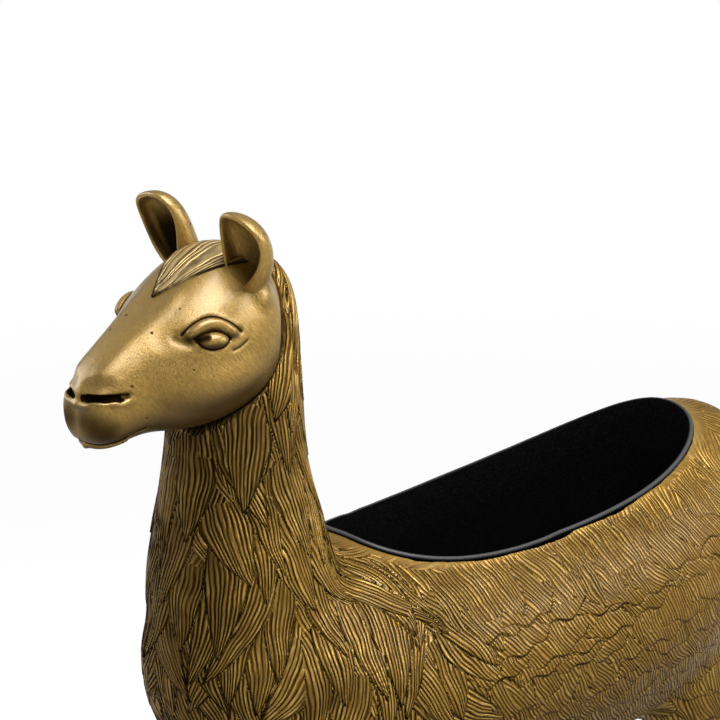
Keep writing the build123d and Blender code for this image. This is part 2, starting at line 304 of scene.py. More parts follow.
class Nodes:
    """A short way to write a node tree."""

    def __init__(self, name):
        self.material = bpy.data.materials.new(name)
        self.material.use_nodes = True
        self.tree = self.material.node_tree
        self.shader = self.tree.nodes["Principled BSDF"]

    def add(self, kind, inputs=None, **settings):
        """Add a node, set its settings, and link or set its inputs."""
        node = self.tree.nodes.new(kind)
        for key, value in settings.items():
            setattr(node, key, value)
        for key, value in (inputs or {}).items():
            self.put(node.inputs[key], value)
        return node

    def put(self, socket, value):
        """Link a socket to an output, or set its value."""
        if isinstance(value, bpy.types.NodeSocket):
            self.tree.links.new(value, socket)
        else:
            socket.default_value = value

    def math(self, operation, a, b=0.0, c=0.0, clamp=False):
        """One math node's output."""
        node = self.add("ShaderNodeMath", {0: a, 1: b, 2: c}, operation=operation, use_clamp=clamp)
        return node.outputs[0]

    def ramp(self, value, low, high, start=0.0, end=1.0):
        """A soft step of a value between two places."""
        node = self.add("ShaderNodeMapRange", {0: value, 1: low, 2: high, 3: start, 4: end},
                        interpolation_type="SMOOTHSTEP")
        return node.outputs[0]

    def noise(self, vector, scale, detail=2.0, rough=0.5):
        """A noise texture's value."""
        return self.add("ShaderNodeTexNoise", {"Vector": vector, "Scale": scale, "Detail": detail,
                                               "Roughness": rough}).outputs["Fac"]

    def separate(self, vector):
        """A vector's three numbers."""
        return self.add("ShaderNodeSeparateXYZ", {0: vector}).outputs

    def pair(self, name):
        """The two numbers of a UV map."""
        return self.separate(self.add("ShaderNodeUVMap", uv_map=name).outputs[0])[:2]

    def place(self, scale=(1, 1, 1), turn=(0, 0, 0)):
        """Object coordinates, turned and stretched."""
        coordinates = self.add("ShaderNodeTexCoord").outputs["Object"]
        turned = self.add("ShaderNodeMapping", {"Vector": coordinates, "Rotation": turn}).outputs[0]
        return self.add("ShaderNodeMapping", {"Vector": turned, "Scale": scale}).outputs[0]

    def mix(self, share, a, b):
        """A blend of two colours."""
        node = self.add("ShaderNodeMix", {0: share, 6: a, 7: b}, data_type="RGBA")
        return node.outputs[2]

    def bump(self, height, distance, strength=1.0, below=None):
        """A bump normal."""
        inputs = {"Height": height, "Distance": distance, "Strength": strength}
        if below is not None:
            inputs["Normal"] = below
        return self.add("ShaderNodeBump", inputs).outputs[0]

    def finish(self, **values):
        """Put values or outputs on the shader's sockets."""
        for key, value in values.items():
            self.put(self.shader.inputs[key.replace("_", " ")], value)
        return self.material


def colour(value):
    """A colour property as four numbers."""
    return (*value, 1.0)


def brushed_face_gold(finish):
    """Smooth gold with brush strokes, tarnish clouds, small pits, dark carved lines and the stored patina and
    painted shade, with more painted shade on faces that look down.
    """
    n = Nodes("brushed_face_gold")
    brush = n.noise(n.place((1500, 1500, 170), (0, math.radians(35), 0)), 1.0, 3.0, 0.7)
    hair = n.noise(n.place((220, 1600, 1600), (0, math.radians(-25), 0)), 1.0, 2.0, 0.6)
    cloud = n.noise(n.place(), 38.0, 4.0, 0.6)
    pits = n.add("ShaderNodeTexVoronoi", {"Vector": n.place(), "Scale": 190.0, "Randomness": 1.0})
    pit_pick = n.noise(n.place(), 75.0, 1.0)
    pit = n.math("MULTIPLY", n.ramp(pits.outputs["Distance"], 0.10, 0.17, 1.0, 0.0),
                 n.ramp(pit_pick, 0.60, 0.64))
    # The stored darkness: patina in the carved lines and the nostril, and painted shade in the soft hollows,
    # under the chin, under the upper lid and in the ears' cups
    carved = n.add("ShaderNodeAttribute", attribute_name="patina").outputs["Fac"]
    brushing = n.math("ADD", n.math("MULTIPLY", brush, 0.65), n.math("MULTIPLY", hair, 0.35))
    dark = n.math("MAXIMUM", n.ramp(carved, 0.1, 0.9), n.math("MULTIPLY", pit, 0.8))
    worn = n.mix(n.ramp(brushing, 0.35, 0.65), colour([c * 0.60 for c in finish.bright_gold]),
                 colour(finish.bright_gold))
    tarnished = n.mix(n.ramp(cloud, 0.48, 0.72, 0.0, 0.4), worn,
                      colour([c * 0.40 for c in finish.bright_gold]))
    # Painted shade: faces that look down are darker, except on the ears
    facing = n.separate(n.add("ShaderNodeNewGeometry").outputs["Normal"])[2]
    bare = n.add("ShaderNodeAttribute", attribute_name="bare").outputs["Fac"]
    under = n.math("MULTIPLY", n.ramp(facing, -0.6, 0.27, 0.95, 0.0), n.math("SUBTRACT", 1.0, bare))
    shaded = n.mix(under, tarnished, colour([c * 0.2 for c in finish.deep_gold]))
    base = n.mix(dark, shaded, colour(finish.patina))
    rough = n.math("ADD", n.ramp(brushing, 0.3, 0.7, 0.30, 0.42), n.math("MULTIPLY", dark, 0.3))
    fine = n.bump(brushing, 0.00035, 0.8, n.bump(cloud, 0.0012, 0.5))
    normal = n.bump(n.math("SUBTRACT", 1.0, pit), 0.0004, 0.8, fine)
    coat = n.math("MULTIPLY", n.ramp(facing, 0.0, 0.5, 0.0, 0.9), n.ramp(dark, 0.0, 0.7, 1.0, 0.0))
    return n.finish(Base_Color=base, Metallic=n.ramp(dark, 0.0, 1.0, 0.6, 0.0), Roughness=rough,
                    Normal=normal, Specular_IOR_Level=n.ramp(dark, 0.0, 0.8, 0.3, 0.02),
                    Coat_Weight=coat, Coat_Roughness=0.28)


def fleece_gold(finish):
    """Carved locks: uneven strands, dark grooves between them and dark lines round each lock, with a painted
    shadow at each lock's root, painted glints on the ridges and painted shade on the front, the throat and
    the faces that look down.
    """
    n = Nodes("fleece_gold")
    strand, along = n.pair("lock_uv")
    edge = n.pair("edge_uv")[0]
    lock = n.add("ShaderNodeAttribute", attribute_name="lock").outputs["Fac"]
    comb = n.add("ShaderNodeAttribute", attribute_name="comb").outputs["Fac"]
    spot = n.separate(n.place())
    slow = n.math("MULTIPLY", n.noise(n.place(), 60.0, 1.0), 1.5)
    quick = n.math("MULTIPLY", n.noise(n.place(), 260.0, 1.0), 0.18)
    own = {0: n.math("MULTIPLY", strand, 0.45), 1: along, 2: n.math("MULTIPLY", lock, 60.0)}
    uneven = n.math("MULTIPLY", n.noise(n.add("ShaderNodeCombineXYZ", own).outputs[0], 1.0, 1.0), 1.5)
    counted = n.math("ADD", n.math("ADD", strand, uneven), n.math("ADD", slow, quick))
    ridge = n.math("ABSOLUTE", n.math("SINE", n.math("MULTIPLY", counted, math.pi)))
    lock_number = n.math("FLOOR", n.math("MULTIPLY", lock, 97.0))
    number = n.math("ADD", n.math("FLOOR", counted), n.math("MULTIPLY", lock_number, 31.0))
    each = n.add("ShaderNodeTexWhiteNoise", {"W": number}, noise_dimensions="1D").outputs["Value"]
    patch = n.noise(n.place(), 60.0, 3.0)
    lay = {0: n.math("MULTIPLY", counted, 1.6), 1: n.math("MULTIPLY", along, 6.0),
           2: n.math("MULTIPLY", lock, 60.0)}
    streak = n.noise(n.add("ShaderNodeCombineXYZ", lay).outputs[0], 1.0, 2.0)
    flank = n.ramp(spot[0], -0.10, 0.0, 0.0, 1.0)
    depth = n.math("MULTIPLY", n.ramp(patch, 0.30, 0.56, 0.75, 1.0), n.ramp(each, 0.0, 1.0, 0.85, 1.0))
    depth = n.math("MULTIPLY", depth, n.ramp(flank, 0.0, 1.0, 1.0, 0.72))
    depth = n.math("MULTIPLY", depth, n.ramp(streak, 0.3, 0.55, 0.65, 1.0))
    groove = n.math("MULTIPLY", n.ramp(ridge, 0.34, 0.94, 1.0, 0.0), depth)
    gap = n.ramp(n.noise(n.place(), 34.0, 1.0), 0.36, 0.54, 0.6, 1.0)
    line = n.math("MULTIPLY", n.ramp(edge, 0.45, 1.4, 1.0, 0.0), gap)
    # Painted shadow at each lock's root, under the tip of the lock that overlaps it
    root = n.ramp(along, 0.10, 0.45, 0.3, 0.0)
    # Patina in the grooves and round the locks, with the painted shadow at the roots
    dark = n.math("MAXIMUM", n.math("MAXIMUM", groove, line), root, clamp=True)
    dark = n.math("MULTIPLY", dark, n.ramp(comb, 0.0, 1.0, 0.2, 1.0))
    normal = n.separate(n.add("ShaderNodeNewGeometry").outputs["Normal"])
    # Paler ridges: rubbed wear with painted glints, and a brighter painted glint on the neck
    worn = n.math("MULTIPLY", n.ramp(each, 0.0, 1.0, 0.45, 1.0), n.ramp(streak, 0.36, 0.62, 0.25, 1.0))
    worn = n.math("MULTIPLY", worn, n.ramp(ridge, 0.35, 1.0))
    worn = n.math("MAXIMUM", worn, n.ramp(comb, 0.0, 0.5, 0.6, 0.0))
    on_neck = n.ramp(spot[0], NECK_X + 10 * MM, NECK_X + 60 * MM, 1.0, 0.0)
    glint = n.mix(on_neck, colour(finish.gold), colour([c * 1.45 for c in finish.gold]))
    pale = n.mix(worn, colour(finish.deep_gold), glint)
    tone = n.mix(n.ramp(lock, 0.0, 1.0, 0.35, 0.0), pale, colour(finish.deep_gold))
    # Painted shade, below the jaw only: faces that look forward and down, the throat under the head, and
    # patches on the neck
    below = n.ramp(spot[2], JAW_MARK + 5 * MM, JAW_MARK + 30 * MM, 1.0, 0.0)
    front = n.ramp(normal[0], -0.95, -0.05, 0.62, 0.0)
    throat = n.math("MULTIPLY", n.ramp(spot[2], JAW_MARK - 75 * MM, JAW_MARK, 0.0, 0.62),
                    n.ramp(spot[0], NECK_X - 6 * MM, NECK_X + 30 * MM, 1.0, 0.0))
    neck_shade_patches = n.math("MULTIPLY", n.ramp(n.noise(n.place(), 24.0, 2.0), 0.48, 0.64, 0.0, 0.6), on_neck)
    # This mask is all painted shade
    wash = n.math("MAXIMUM", n.math("MAXIMUM", front, throat), n.ramp(normal[2], -0.5, 0.45, 0.55, 0.0))
    wash = n.math("MAXIMUM", wash, neck_shade_patches)
    shade = n.mix(n.math("MULTIPLY", wash, below), tone, colour([c * 0.2 for c in finish.deep_gold]))
    shade = n.mix(n.ramp(lock, 1.0, FORELOCK_MARK, 0.0, 0.7), shade, colour(finish.cream_gold))
    base = n.mix(dark, shade, colour(finish.patina))
    raised = n.math("MULTIPLY", ridge, n.ramp(each, 0.0, 1.0, 0.7, 1.0))
    carved = n.math("SUBTRACT", raised, n.math("MULTIPLY", line, 0.9))
    height = n.math("MULTIPLY", carved, n.ramp(comb, 0.0, 1.0))
    bumped = n.bump(height, 0.0013, 1.0)
    rough = n.ramp(dark, 0.0, 1.0, 0.36, 0.6)
    coat = n.math("MULTIPLY", n.ramp(normal[2], 0.1, 0.6, 0.0, 0.35), n.ramp(dark, 0.0, 0.7, 1.0, 0.0))
    return n.finish(Base_Color=base, Metallic=n.ramp(dark, 0.0, 1.0, 0.6, 0.0), Roughness=rough,
                    Normal=bumped, Specular_IOR_Level=n.ramp(dark, 0.0, 0.8, 0.2, 0.02),
                    Coat_Weight=coat, Coat_Roughness=0.3)


def skin_gold(finish):
    """The casting's lining: dull gold with a dark wash and faint combing."""
    n = Nodes("skin_gold")
    comb = n.noise(n.place((500, 500, 120)), 1.0, 3.0, 0.6)
    cloud = n.noise(n.place(), 45.0, 4.0, 0.6)
    dark = n.math("MAXIMUM", n.ramp(comb, 0.62, 0.40, 0.0, 0.8), n.ramp(cloud, 0.45, 0.7, 0.0, 0.5))
    base = n.mix(dark, colour([c * 0.75 for c in finish.gold]), colour(finish.patina))
    normal = n.bump(comb, 0.0006, 0.8)
    rough = n.ramp(dark, 0.0, 1.0, 0.38, 0.6)
    return n.finish(Base_Color=base, Metallic=n.ramp(dark, 0.0, 1.0, 0.6, 0.0), Roughness=rough,
                    Normal=normal, Specular_IOR_Level=n.ramp(dark, 0.0, 0.8, 0.5, 0.05))


def black_liner(finish):
    """Black painted liner, satin with faint waves, with a grey painted highlight along the top of its lip."""
    n = Nodes("black_liner")
    wave = n.noise(n.place(), 60.0, 2.0)
    grain = n.noise(n.place(), 900.0, 2.0)
    lip = n.add("ShaderNodeAttribute", attribute_name="lip").outputs["Fac"]
    paint = n.mix(n.ramp(grain, 0.4, 0.7), colour(finish.liner_black),
                  colour([c * 2.2 for c in finish.liner_black]))
    # Painted highlight: the top of the lip is grey
    base = n.mix(lip, paint, colour(finish.lip_grey))
    normal = n.bump(wave, 0.0006, 0.3)
    rough = n.ramp(grain, 0.3, 0.7, 0.40, 0.50)
    return n.finish(Base_Color=base, Roughness=rough, Normal=normal,
                    Specular_IOR_Level=n.ramp(lip, 0.0, 1.0, 0.0, 0.4))


def dark_felt(finish):
    """Matted felt of the foot pads."""
    n = Nodes("dark_felt")
    fibre = n.noise(n.place(), 1600.0, 3.0, 0.7)
    base = n.mix(n.ramp(fibre, 0.35, 0.7), colour([c * 0.6 for c in finish.felt]), colour(finish.felt))
    return n.finish(Base_Color=base, Roughness=0.95, Normal=n.bump(fibre, 0.0003, 0.8))


def plain_steel(finish):
    """Drawn steel of the dowels."""
    n = Nodes("plain_steel")
    drawn = n.noise(n.place((900, 900, 40)), 1.0, 3.0)
    base = n.mix(n.ramp(drawn, 0.3, 0.7), colour([c * 0.8 for c in finish.steel]), colour(finish.steel))
    return n.finish(Base_Color=base, Metallic=1.0, Roughness=n.ramp(drawn, 0.3, 0.7, 0.28, 0.4),
                    Normal=n.bump(drawn, 0.0001, 0.4))


def paint_floor():
    """Pale floor: white where the camera sees it lit, with the figure's soft shadow."""
    n = Nodes("pale_floor")
    path = n.add("ShaderNodeLightPath").outputs
    seen = n.math("MAXIMUM", n.math("MAXIMUM", path["Is Camera Ray"], path["Is Glossy Ray"]),
                  path["Is Transmission Ray"])
    grain = n.noise(n.place(), 6.0, 2.0)
    base = n.mix(grain, (0.86, 0.86, 0.86, 1), (0.90, 0.90, 0.90, 1))
    n.finish(Base_Color=base, Roughness=0.9)
    glow = n.add("ShaderNodeEmission", {"Color": (1, 1, 1, 1), "Strength": 1.0}).outputs[0]
    middle = n.add("ShaderNodeVectorMath", {0: n.place()}, operation="LENGTH").outputs["Value"]
    share = n.math("MULTIPLY", seen, n.ramp(middle, 0.5, 1.6, 0.75, 1.0))
    blend = n.add("ShaderNodeMixShader", {0: share, 1: n.shader.outputs[0], 2: glow})
    n.tree.links.new(blend.outputs[0], n.tree.nodes["Material Output"].inputs["Surface"])
    return n.material


MATERIALS = {}


def material(name):
    """A finish by name, made once."""
    makers = {"face": brushed_face_gold, "fleece": fleece_gold, "skin": skin_gold, "liner": black_liner,
              "felt": dark_felt, "steel": plain_steel}
    if name not in MATERIALS:
        MATERIALS[name] = makers[name](bpy.context.scene.planter_finish)
    return MATERIALS[name]


# The skin, which the locks are laid on

class Surface:
    """The outer faces of a casting, for laying things on it."""

    def __init__(self, mesh, inner):
        points = [v.co.copy() for v in mesh.vertices]
        self.faces = [tuple(p.vertices) for p in mesh.polygons if p.index not in inner]
        self.centres = [sum((points[i] for i in f), Vector()) / len(f) for f in self.faces]
        self.tree = BVHTree.FromPolygons(points, self.faces)
        used = sorted({i for f in self.faces for i in f})
        self.normals = [mesh.vertices[i].normal.copy() for i in used]
        self.near = KDTree(len(used))
        for place, i in enumerate(used):
            self.near.insert(points[i], place)
        self.near.balance()

    def touch(self, point):
        """The nearest place on the surface and its smooth normal."""
        place = self.tree.find_nearest(point)[0]
        found = self.near.find_n(place, 4)
        normal = sum((self.normals[i] / (0.0005 + d) for _, i, d in found), Vector()).normalized()
        return place, normal


def leg_line(leg):
    """Heights up a leg and the leg's middle at each of them."""
    mesh = frame["nodes"][leg].data
    ends = np.array([[mesh.vertices[i].co for i in edge.vertices] for edge in mesh.edges])
    points = np.concatenate([ends[:, 0] + (ends[:, 1] - ends[:, 0]) * share
                             for share in np.linspace(0, 1, 9)])
    heights = np.linspace(points[:, 2].min(), points[:, 2].max(), 25)
    slices = [points[np.abs(points[:, 2] - height) < 8 * MM] for height in heights]
    return heights, np.array([(part.min(0) + part.max(0)) / 2 for part in slices])


LEG_LINES = [leg_line(leg) for leg in LEGS]


def leg_axis(point):
    """The middle of the leg nearest to a point, at the point's height."""
    places = [(np.interp(point.z, heights, middles[:, 0]), np.interp(point.z, heights, middles[:, 1]))
              for heights, middles in LEG_LINES]
    x, y = min(places, key=lambda place: (place[0] - point.x) ** 2 + (place[1] - point.y) ** 2)
    return Vector((x, y, point.z))


def body_axis(point):
    """The nearest place on the middle line of the limb or trunk that a point belongs to."""
    region = region_of(point)
    if region == "neck":
        return Vector((NECK_X + 2 * MM, 0, point.z))
    if region == "leg":
        return leg_axis(point)
    if region == "tail":
        return Vector(((tail_low.x + tail_high.x) / 2 + 8 * MM, 0, point.z))
    along = min(torso_high.x - 70 * MM, max(torso_low.x + 75 * MM, point.x))
    return Vector((along, 0, (torso_low.z + torso_high.z) / 2))


def region_of(point):
    """neck, leg, tail or trunk."""
    if point.z > BACK_TOP or (point.x < NECK_BACK and point.z > NECK_BOTTOM):
        return "neck"
    if point.z < LEG_TOP:
        return "leg"
    if point.x > TAIL_FRONT:
        return "tail"
    return "trunk"


def is_outside(centre, normal):
    """Whether a face of the skin looks outwards."""
    if centre.z < BELLY_TOP and normal.z < BELLY_TILT:
        return True
    return (centre - body_axis(centre)).normalized().dot(normal) > OUTWARD


def inner_faces(mesh):
    """The numbers of a casting's inner faces: those that look inwards and lie together in a large patch."""
    bm = bmesh.new()
    bm.from_mesh(mesh)
    bm.faces.ensure_lookup_table()
    waiting = {f.index for f in bm.faces if not is_outside(f.calc_center_median(), f.normal)}
    inner = set()
    while waiting:
        patch, ahead = set(), {waiting.pop()}
        while ahead:
            here = ahead.pop()
            patch.add(here)
            near = {f.index for e in bm.faces[here].edges for f in e.link_faces} & waiting
            waiting -= near
            ahead |= near
        if len(patch) > SMALLEST_LINING:
            inner |= patch
    bm.free()
    return inner


def opening_share(point):
    """How far a point on the back is from the opening's middle: 1 on its edge."""
    a = abs(point.x - OPENING_X) / OPENING_HALF[0]
    b = abs(point.y) / OPENING_HALF[1]
    return (a ** OPENING_POWER + b ** OPENING_POWER) ** (1 / OPENING_POWER)


def fleece_flow(point):
    """The way the fleece is combed at a point."""
    region = region_of(point)
    if region in ("leg", "tail"):
        return Vector((0.10, 0, -1))
    behind = point.x - NECK_X
    down = Vector((0.04, 0, -1))
    back = Vector((0.66, 0, -0.75))
    share = smooth(20 * MM, 110 * MM, behind + 0.9 * (torso_high.z - point.z) * 0.4)
    if region == "neck":
        share *= smooth(-10 * MM, 60 * MM, torso_high.z + 20 * MM - point.z)
    combed = down.lerp(back, share)
    under = smooth(torso_low.z + 45 * MM, torso_low.z + 5 * MM, point.z) if region == "trunk" else 0.0
    combed = combed.lerp(Vector((1, 0, 0)), 0.0 if share < 0.2 else under * 0.7)
    rim = opening_share(point)
    if region == "trunk" and point.z > torso_high.z - 60 * MM and rim < 1.6:
        away = Vector((point.x - OPENING_X, point.y * 3.0, 0)).normalized()
        combed = combed + away * 0.5
    return combed


class Lock:
    """One carved lock of fleece: where it grows, which way it lies and its size."""

    def __init__(self, root, length, width, blunt, turn, bend, shade, lean=0.0):
        self.root, self.length, self.width, self.blunt = root, length, width, blunt
        self.turn, self.bend, self.shade, self.lean = turn, bend, shade, lean


class Relief:
    """Locks laid over each other like shingles, and the place of any point in the lock that covers it."""

    cell = 25 * MM
    scallop = 17 * MM
    scallop_share = 0.04
    facing = 0.55

    def __init__(self, locks, surface):
        frames = []
        for lock in locks:
            place, normal = surface.touch(lock.root)
            in_row = Vector((0.05, math.copysign(0.4, place.y), -1))
            combed = fleece_flow(place) if lock.lean == 0 else in_row
            along = (combed - normal * combed.dot(normal)).normalized()
            along = Matrix.Rotation(lock.turn, 3, normal) @ along
            side = along.cross(normal)
            lean = lock.lean if side.x > 0 else -lock.lean
            frames.append((place, along, side, normal, side * math.cos(lean) - along * math.sin(lean)))
        self.root, self.along, self.side, self.normal, self.comb = (
            np.array([f[k] for f in frames]) for k in range(5))
        self.length = np.array([lock.length for lock in locks])
        self.half = np.array([lock.width / 2 for lock in locks])
        self.blunt = np.array([lock.blunt for lock in locks])
        self.bend = np.array([lock.bend for lock in locks])
        self.shade = np.array([lock.shade for lock in locks])
        self.lean = np.array([lock.lean for lock in locks])

    def local(self, points, lock):
        """How far along its lock each point lies, as a share, and how far across it."""
        away = points - self.root[lock]
        along = (away * self.along[lock]).sum(-1) / self.length[lock]
        across = (away * self.side[lock]).sum(-1)
        wave = np.sin(across * math.tau / self.scallop + 40 * self.shade[lock]) * (self.lean[lock] != 0)
        return along + self.scallop_share * wave, across - self.bend[lock] * self.length[lock] * along * along

    def outline(self, along, lock):
        """A lock's half width: narrower at the root, full, then pointed or blunt at the tip."""
        share = np.clip(along, 0, 1)
        power = 1.9 + 3.0 * self.blunt[lock]
        sharp = 0.95 - 0.45 * self.blunt[lock]
        return self.half[lock] * (0.75 + 0.25 * np.minimum(1, share / 0.3)) * (1 - share ** power) ** sharp

    def cover(self, points, normals):
        """The lock on top at each point: the one whose tip is nearest, as on shingles."""
        owner = np.full(len(points), -1)
        self.lay(points, normals, owner, 1.0, 0.0)
        self.lay(points, normals, owner, 1.8, 0.35)
        for i in np.nonzero(owner < 0)[0]:
            middles = self.root + self.along * self.length[:, None] * 0.4
            owner[i] = np.argmin(((middles - points[i]) ** 2).sum(1))
        return owner

    def lay(self, points, normals, owner, spread, early):
        """Lay every lock on the points that no lock covers yet."""
        open_points = np.nonzero(owner < 0)[0]
        keys = np.floor(points[open_points] / self.cell).astype(int)
        order = np.lexsort(keys.T)
        sorted_keys = keys[order]
        changes = np.nonzero(np.any(np.diff(sorted_keys, axis=0) != 0, axis=1))[0] + 1
        starts = np.r_[0, changes]
        ends = np.r_[changes, len(order)]
        boxes = {tuple(sorted_keys[a]): open_points[order[a:b]] for a, b in zip(starts, ends)}
        best = np.full(len(points), -9.0)
        for lock in range(len(self.length)):
            reach = self.length[lock] * 0.6
            middle = self.root[lock] + self.along[lock] * self.length[lock] * 0.5
            low = np.floor((middle - reach) / self.cell).astype(int)
            high = np.floor((middle + reach) / self.cell).astype(int)
            keys = (tuple(low + step) for step in np.ndindex(*(high - low + 1)))
            found = [boxes[key] for key in keys if key in boxes]
            if not found:
                continue
            near = np.concatenate(found)
            along, across = self.local(points[near], lock)
            inside = ((along >= -early) & (along <= 1) & (along > best[near])
                      & (np.abs(across) < self.outline(along, lock) * spread)
                      & (normals[near] @ self.normal[lock] > self.facing))
            near = near[inside]
            owner[near] = lock
            best[near] = along[inside]


# Tries at growing a lock, how close locks may grow as shares of length and width, and how they vary
LOCK_TRIES = 26000
LOCK_CELL = 30 * MM
LOCK_APART = 0.40, 0.56
LOCK_SIZES = 0.85, 1.25
TURN_SPREAD, TURN_LIMIT = 0.22, 0.4
BEND_SPREAD, BEND_LIMIT = 0.18, 0.3


def bounded(value, limit):
    """A value kept within a limit on both sides of zero."""
    return max(-limit, min(limit, value))


def scatter(surface, settings, chance):
    """Choose where locks grow: close together across the combing, further apart along it."""
    picks = chance.choices(range(len(surface.faces)), k=LOCK_TRIES)
    grid = {}
    locks = []
    for pick in picks:
        root = surface.centres[pick] + Vector([chance.uniform(-1, 1) * MM for _ in range(3)])
        if in_rows(root):
            continue
        length, width, blunt = lock_kind(root, settings)
        normal = surface.touch(root)[1]
        combed = fleece_flow(root)
        along = (combed - normal * combed.dot(normal)).normalized()
        key = tuple(int(math.floor(c / LOCK_CELL)) for c in root)
        close = False
        for step in np.ndindex(3, 3, 3):
            for other in grid.get(tuple(key[k] + step[k] - 1 for k in range(3)), ()):
                gap = root - other
                run = gap.dot(along)
                wide = (gap - along * run).length
                apart = (run / (LOCK_APART[0] * length)) ** 2 + (wide / (LOCK_APART[1] * width)) ** 2
                close = close or apart < 1
        if close:
            continue
        grid.setdefault(key, []).append(root)
        locks.append(Lock(root, length * chance.uniform(*LOCK_SIZES), width * chance.uniform(*LOCK_SIZES),
                          blunt, bounded(chance.gauss(0, TURN_SPREAD), TURN_LIMIT),
                          bounded(chance.gauss(0, BEND_SPREAD), BEND_LIMIT), chance.random()))
    return locks


# The flank's rows of locks: the part of the flank they cover, and where they start
ROWS_FRONT, ROWS_REAR = -46 * MM, 168 * MM
ROWS_BOTTOM = torso_low.z + 22 * MM
ROWS_SIDE = 20 * MM
FLANK_START, FLANK_LENGTH = -72 * MM, 250 * MM
FLANK_ROWS = 14
FLANK_SIDE = 24 * MM
ROW_LOCK_LENGTHS = 1.75, 2.25
ROW_LOCK_WIDTHS = 1.7, 2.6
ROW_LOCK_BLUNT = 1.2
ROW_LEAN, ROW_LEAN_SPREAD = math.radians(18), math.radians(6)


def in_rows(root):
    """Whether a point lies on the flank, where the locks lie in rows."""
    return (region_of(root) == "trunk" and ROWS_FRONT < root.x < ROWS_REAR and root.z > ROWS_BOTTOM
            and abs(root.y) > ROWS_SIDE)


def flank_rows(surface, settings, chance):
    """Rows of short locks that run along the flank under the liner's lip."""
    locks = []
    columns = int(FLANK_LENGTH / settings.row_lock_spacing)
    for side in SIDES.values():
        for column in range(columns):
            x = FLANK_START + column * settings.row_lock_spacing
            a = min(0.999, abs(x - OPENING_X) / OPENING_HALF[0])
            y = max(FLANK_SIDE, OPENING_HALF[1] * (1 - a ** OPENING_POWER) ** (1 / OPENING_POWER) + 1 * MM)
            place, normal = surface.touch(Vector((x, side * y, BACK_TOP)))
            for row in range(FLANK_ROWS):
                shift = settings.row_lock_spacing * (0.5 * (row % 2) + chance.uniform(-0.18, 0.18))
                root = surface.touch(place + Vector((shift, 0, chance.uniform(-3, 3) * MM)))[0]
                if in_rows(root):
                    locks.append(Lock(root, settings.row_pitch * chance.uniform(*ROW_LOCK_LENGTHS),
                                      settings.row_lock_spacing * chance.uniform(*ROW_LOCK_WIDTHS),
                                      ROW_LOCK_BLUNT, chance.uniform(-0.12, 0.12), 0.0, chance.random(),
                                      chance.gauss(ROW_LEAN, ROW_LEAN_SPREAD)))
                outward = Vector((0, side * 0.4 * max(0, normal.z), 0))
                down = Vector((0, 0, -1)) - normal * -normal.z + outward
                place, normal = surface.touch(place + down.normalized() * settings.row_pitch)
                place.x = x
    return locks


def lock_kind(root, settings):
    """Length, width and bluntness of a lock that grows at a point."""
    region = region_of(root)
    if region in ("leg", "tail"):
        return settings.leg_lock_length, settings.leg_lock_width, 0.15
    share = 0.0 if region == "neck" else smooth(30 * MM, 120 * MM, root.x - NECK_X)
    length = settings.neck_lock_length + (settings.flank_lock_length - settings.neck_lock_length) * share
    width = settings.neck_lock_width + (settings.flank_lock_width - settings.neck_lock_width) * share
    return length, width, share * 0.35


def fleece_piece(root):
    """The name of the fleece piece that a lock belongs to."""
    region = region_of(root)
    side = "left" if root[1] < 0 else "right"
    if region == "leg":
        return f"{'front' if root[0] < 0 else 'rear'}_{side}_leg_fleece"
    if region == "trunk":
        return f"{side}_{'shoulder' if root[0] < 10 * MM else 'haunch'}_fleece"
    return region + "_fleece"


def soft_step(low, high, values):
    """A soft step over an array of values."""
    share = np.clip((values - low) / (high - low), 0, 1)
    return share * share * (3 - 2 * share)


def rim_share(points):
    """How far points on the back are from the opening's middle: 1 on its edge."""
    a = np.abs(points[:, 0] - OPENING_X) / OPENING_HALF[0]
    b = np.abs(points[:, 1]) / OPENING_HALF[1]
    rim = (a ** OPENING_POWER + b ** OPENING_POWER) ** (1 / OPENING_POWER)
    return np.where(points[:, 2] > torso_high.z - 70 * MM, rim, 9)


def combed_share(points):
    """1 where the fleece is carved, fainter to the rear, 0 on the smooth feet and beside the liner's lip."""
    on_back = soft_step(torso_low.z, torso_low.z + 60 * MM, points[:, 2])
    faint = 1 - 0.45 * soft_step(30 * MM, 150 * MM, points[:, 0]) * on_back
    return soft_step(1.02, 1.16, rim_share(points)) * soft_step(8 * MM, 30 * MM, points[:, 2]) * faint


